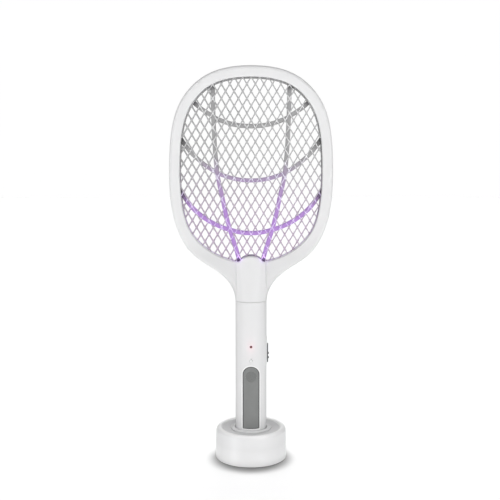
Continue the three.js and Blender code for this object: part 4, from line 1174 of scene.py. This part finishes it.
# ------------------------------------------------------------------ CAD nodes that stay, with their finishes
KEEP = {
    "zap_switch": BLACK, "mode_switch": STEEL, "main_circuit_board": BOARD, "hv_transformer": TAPE, "hv_capacitor": CAPACITOR,
    "battery_cell": CELL, "battery_spring_contact": NICKEL, "battery_top_contact": NICKEL, "uv_led_board": LAMP_BOARD,
    "grid_lead": RED_LEAD, "guard_lead": BLACK_LEAD, "uv_lead": WHITE_LEAD, "ballast_ring": IRON, "charging_board": BOARD,
    "pin_barrel_left": BRASS, "pin_barrel_right": BRASS, "uv_led_1": UV, "uv_led_2": UV, "uv_led_3": UV, "uv_led_4": UV,
}
for name, ob in NODES.items():
    if ob.hide_render:
        continue
    if name not in KEEP:
        raise SystemExit("no finish for " + name)
    ob.data.materials.clear()
    ob.data.materials.append(KEEP[name])
    ob.data.shade_smooth()
    ob.data.set_sharp_from_angle(angle=math.radians(30))

# ------------------------------------------------------------------ the scene: floor, light and camera
floor_mat = material("floor_white", (0.9, 0.9, 0.9), 0.8, var=0.004, scale=3, rvar=0.03, bump=0.05, grain=300, depth=0.00005)
floor_mat.node_tree.nodes["Principled BSDF"].inputs["Specular IOR Level"].default_value = 0.1
s = 150000
# painted shadow: the floor darkens in an oval round the dock's foot, set a little towards the front
nt = floor_mat.node_tree
co = nt.nodes.new("ShaderNodeTexCoord")
off = nt.nodes.new("ShaderNodeVectorMath")
off.operation = "SUBTRACT"
off.inputs[1].default_value = (0, -0.0085, 0)
nt.links.new(co.outputs["Object"], off.inputs[0])
oval = nt.nodes.new("ShaderNodeVectorMath")
oval.operation = "MULTIPLY"
oval.inputs[1].default_value = (1.07, 1, 1)
nt.links.new(off.outputs["Vector"], oval.inputs[0])
far = nt.nodes.new("ShaderNodeVectorMath")
far.operation = "LENGTH"
nt.links.new(oval.outputs["Vector"], far.inputs[0])
dim = nt.nodes.new("ShaderNodeMapRange")
dim.interpolation_type = "SMOOTHSTEP"
dim.inputs["From Min"].default_value, dim.inputs["From Max"].default_value = 0.036, 0.058
dim.inputs["To Min"].default_value, dim.inputs["To Max"].default_value = 0.36, 1.0
nt.links.new(far.outputs["Value"], dim.inputs["Value"])
tone = nt.nodes.new("ShaderNodeVectorMath")
tone.operation = "SCALE"
pbsdf = nt.nodes["Principled BSDF"]
nt.links.new(pbsdf.inputs["Base Color"].links[0].from_socket, tone.inputs[0])
nt.links.new(dim.outputs["Result"], tone.inputs["Scale"])
nt.links.new(tone.outputs["Vector"], pbsdf.inputs["Base Color"])
fl = mesh_object("floor", [(-s, -s, 0), (s, -s, 0), (s, s, 0), (-s, s, 0)], [(0, 1, 2, 3)], floor_mat)
if fl.data.polygons[0].normal.z < 0:
    fl.data.flip_normals()

# a white backdrop all round, far off, which gives no light of its own to the object
backdrop_mat = material("backdrop_white", (0.005, 0.005, 0.005), 0.9, var=0.004, scale=3, rvar=0.03, bump=0.02, grain=300, depth=0.00005, Specular_IOR_Level=0.0)
pbsdf = backdrop_mat.node_tree.nodes["Principled BSDF"]
pbsdf.inputs["Emission Color"].default_value = (1, 1, 1, 1)
pbsdf.inputs["Emission Strength"].default_value = 1.0
ring = [(14000 * math.cos(2 * math.pi * i / 48), 14000 * math.sin(2 * math.pi * i / 48)) for i in range(48)]
bd = mesh_object("backdrop", [(x, y, z) for z in (-2, 18000) for x, y in ring], [(i, (i + 1) % 48, 48 + (i + 1) % 48, 48 + i) for i in range(48)], backdrop_mat)
bd.visible_diffuse = bd.visible_glossy = bd.visible_shadow = bd.visible_volume_scatter = False

world = bpy.data.worlds.new("studio")
scene.world = world
world.use_nodes = True
nt = world.node_tree
bg = nt.nodes["Background"]
co = nt.nodes.new("ShaderNodeTexCoord")
sep = nt.nodes.new("ShaderNodeSeparateXYZ")
nt.links.new(co.outputs["Generated"], sep.inputs["Vector"])


def math_node(op, a, b=None, c=None):
    n = nt.nodes.new("ShaderNodeMath")
    n.operation = op
    for i, v in enumerate((a, b, c)):
        if v is None:
            continue
        if isinstance(v, (int, float)):
            n.inputs[i].default_value = v
        else:
            nt.links.new(v, n.inputs[i])
    return n.outputs["Value"]


def ranged(value, a, b, c, d):
    n = nt.nodes.new("ShaderNodeMapRange")
    n.interpolation_type = "SMOOTHSTEP"
    n.inputs["From Min"].default_value, n.inputs["From Max"].default_value = a, b
    n.inputs["To Min"].default_value, n.inputs["To Max"].default_value = c, d
    nt.links.new(value, n.inputs["Value"])
    return n.outputs["Result"]


# bright in front, dim at the flanks behind the object, white straight behind it and dimmer overhead
flank = ranged(sep.outputs["Y"], -0.2, 0.5, 1.0, 0.13)
up = math_node("MAXIMUM", sep.outputs["Z"], 0.0)
high = ranged(up, 0.3, 0.95, 1.0, 0.4)
light = math_node("MULTIPLY", flank, high)
light = math_node("MULTIPLY", light, 0.82)
back = ranged(sep.outputs["Y"], 0.885, 0.93, 0.0, 0.98)
nt.links.new(math_node("ADD", light, back), bg.inputs["Strength"])
bg.inputs["Color"].default_value = (1, 1, 1, 1)


def area(name, at, to, size, power, colour=(1, 1, 1), size_y=None):
    d = bpy.data.lights.new(name, "AREA")
    d.energy = power
    d.color = colour
    d.shape = "RECTANGLE"
    d.size, d.size_y = size, size_y or size
    o = bpy.data.objects.new(name, d)
    scene.collection.objects.link(o)
    o.location = Vector(at)
    o.rotation_mode = "QUATERNION"
    o.rotation_quaternion = (Vector(at) - Vector(to)).to_track_quat("Z", "Y")
    return o


# two tall soft boxes that only show as reflections in the glossy parts
for name, x, y in (("soft_left", -1.12, -0.84), ("soft_right", 1.02, -0.95)):
    o = area(name, (x, y, 0.55), (0, 0, 0.2), 0.62, 3.6, size_y=1.3)
    o.visible_diffuse = False

# two narrow ones for the streaks
for name, azimuth, w, power in (("streak_left", -56, 0.12, 2.4), ("streak_right", 30, 0.16, 2.2)):
    a = math.radians(azimuth)
    o = area(name, (1.4 * math.sin(a), -1.4 * math.cos(a), 0.5), (0, 0, 0.2), w, power, size_y=1.2)
    o.visible_diffuse = False
    o.visible_camera = False
# broad light from the front that leaves the flanks a little darker
o = area("front_fill", (0, -1.45, 0.5), (0, 0, 0.2), 0.6, 3.4, size_y=0.8)
o.visible_glossy = False

# light that falls on the floor only, from behind, so that the dock has its soft contact shadow
floor_only = bpy.data.collections.new("floor_only")
floor_only.objects.link(fl)
dock_only = bpy.data.collections.new("dock_only")
for o in list(scene.objects):
    if o.type == "MESH" and "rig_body" in o and o["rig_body"] == "dock":
        dock_only.objects.link(o)
for i, az in enumerate((130, 180, 230)):
    d = bpy.data.lights.new(f"floor_sun_{i}", "SUN")
    d.energy = 0.98
    d.angle = math.radians(45)
    o = bpy.data.objects.new(f"floor_sun_{i}", d)
    scene.collection.objects.link(o)
    e, a = math.radians(58), math.radians(az)
    direction = Vector((math.sin(a) * math.cos(e), -math.cos(a) * math.cos(e), math.sin(e)))
    o.rotation_mode = "QUATERNION"
    o.rotation_quaternion = direction.to_track_quat("Z", "Y")
    o.light_linking.receiver_collection = floor_only
    o.light_linking.blocker_collection = dock_only

# low panels that only show as soft upright streaks in the dock's side
for name, azimuth, w, power in (("dock_streak_wide", -59, 0.85, 3.6), ("dock_streak_fine", -54, 0.14, 1.1), ("dock_streak_right", 36, 0.58, 2.6)):
    a = math.radians(azimuth)
    o = area(name, (math.sin(a), -math.cos(a), -0.3), (0, 0, 0.025), w, power, size_y=0.45)
    o.visible_diffuse = False
    o.visible_camera = False
    o.light_linking.receiver_collection = dock_only
    o.light_linking.blocker_collection = dock_only

# a little more light on the dock
o = area("dock_fill", (0, -1.3, 0.16), (0, 0, 0.02), 0.5, 0.15, size_y=0.3)
o.visible_glossy = False
o.light_linking.receiver_collection = dock_only
o = area("dock_top_light", (0, -0.27, 1.15), (0, 0, 0.03), 0.6, 4.8, size_y=0.6)
o.visible_glossy = False
o.light_linking.receiver_collection = dock_only
o.light_linking.blocker_collection = dock_only

# violet light from the lamps in the tongue
for i, x in enumerate((-13.5, 13.5)):
    d = bpy.data.lights.new(f"lamp_glow_{i}", "POINT")
    d.energy = 0.0008
    d.color = (0.62, 0.35, 1.0)
    d.shadow_soft_size = 0.003
    o = bpy.data.objects.new(f"lamp_glow_{i}", d)
    scene.collection.objects.link(o)
    o.location = (x * MM, -0.012, 0.2375)
    o.parent = BODIES["swatter"]

d = bpy.data.lights.new("status_glow", "POINT")
d.energy = 0.0003
d.color = (1.0, 0.22, 0.35)
d.shadow_soft_size = 0.0015
o = bpy.data.objects.new("status_glow", d)
scene.collection.objects.link(o)
o.location = (0, -0.0215, LED_Z * MM)
o.parent = BODIES["swatter"]

cam_data = bpy.data.cameras.new("camera")
cam_data.sensor_width = 36
cam_data.lens = 774.9 / 500 * 36
cam_data.clip_start, cam_data.clip_end = 0.01, 400
cam = bpy.data.objects.new("camera", cam_data)
scene.collection.objects.link(cam)
cam.location = (-0.00122, -0.900, 0.3276)
cam.rotation_euler = (math.radians(90 - 5.186), 0, 0)
scene.camera = cam
scene.view_settings.view_transform = "Standard"
scene.view_settings.look = "None"
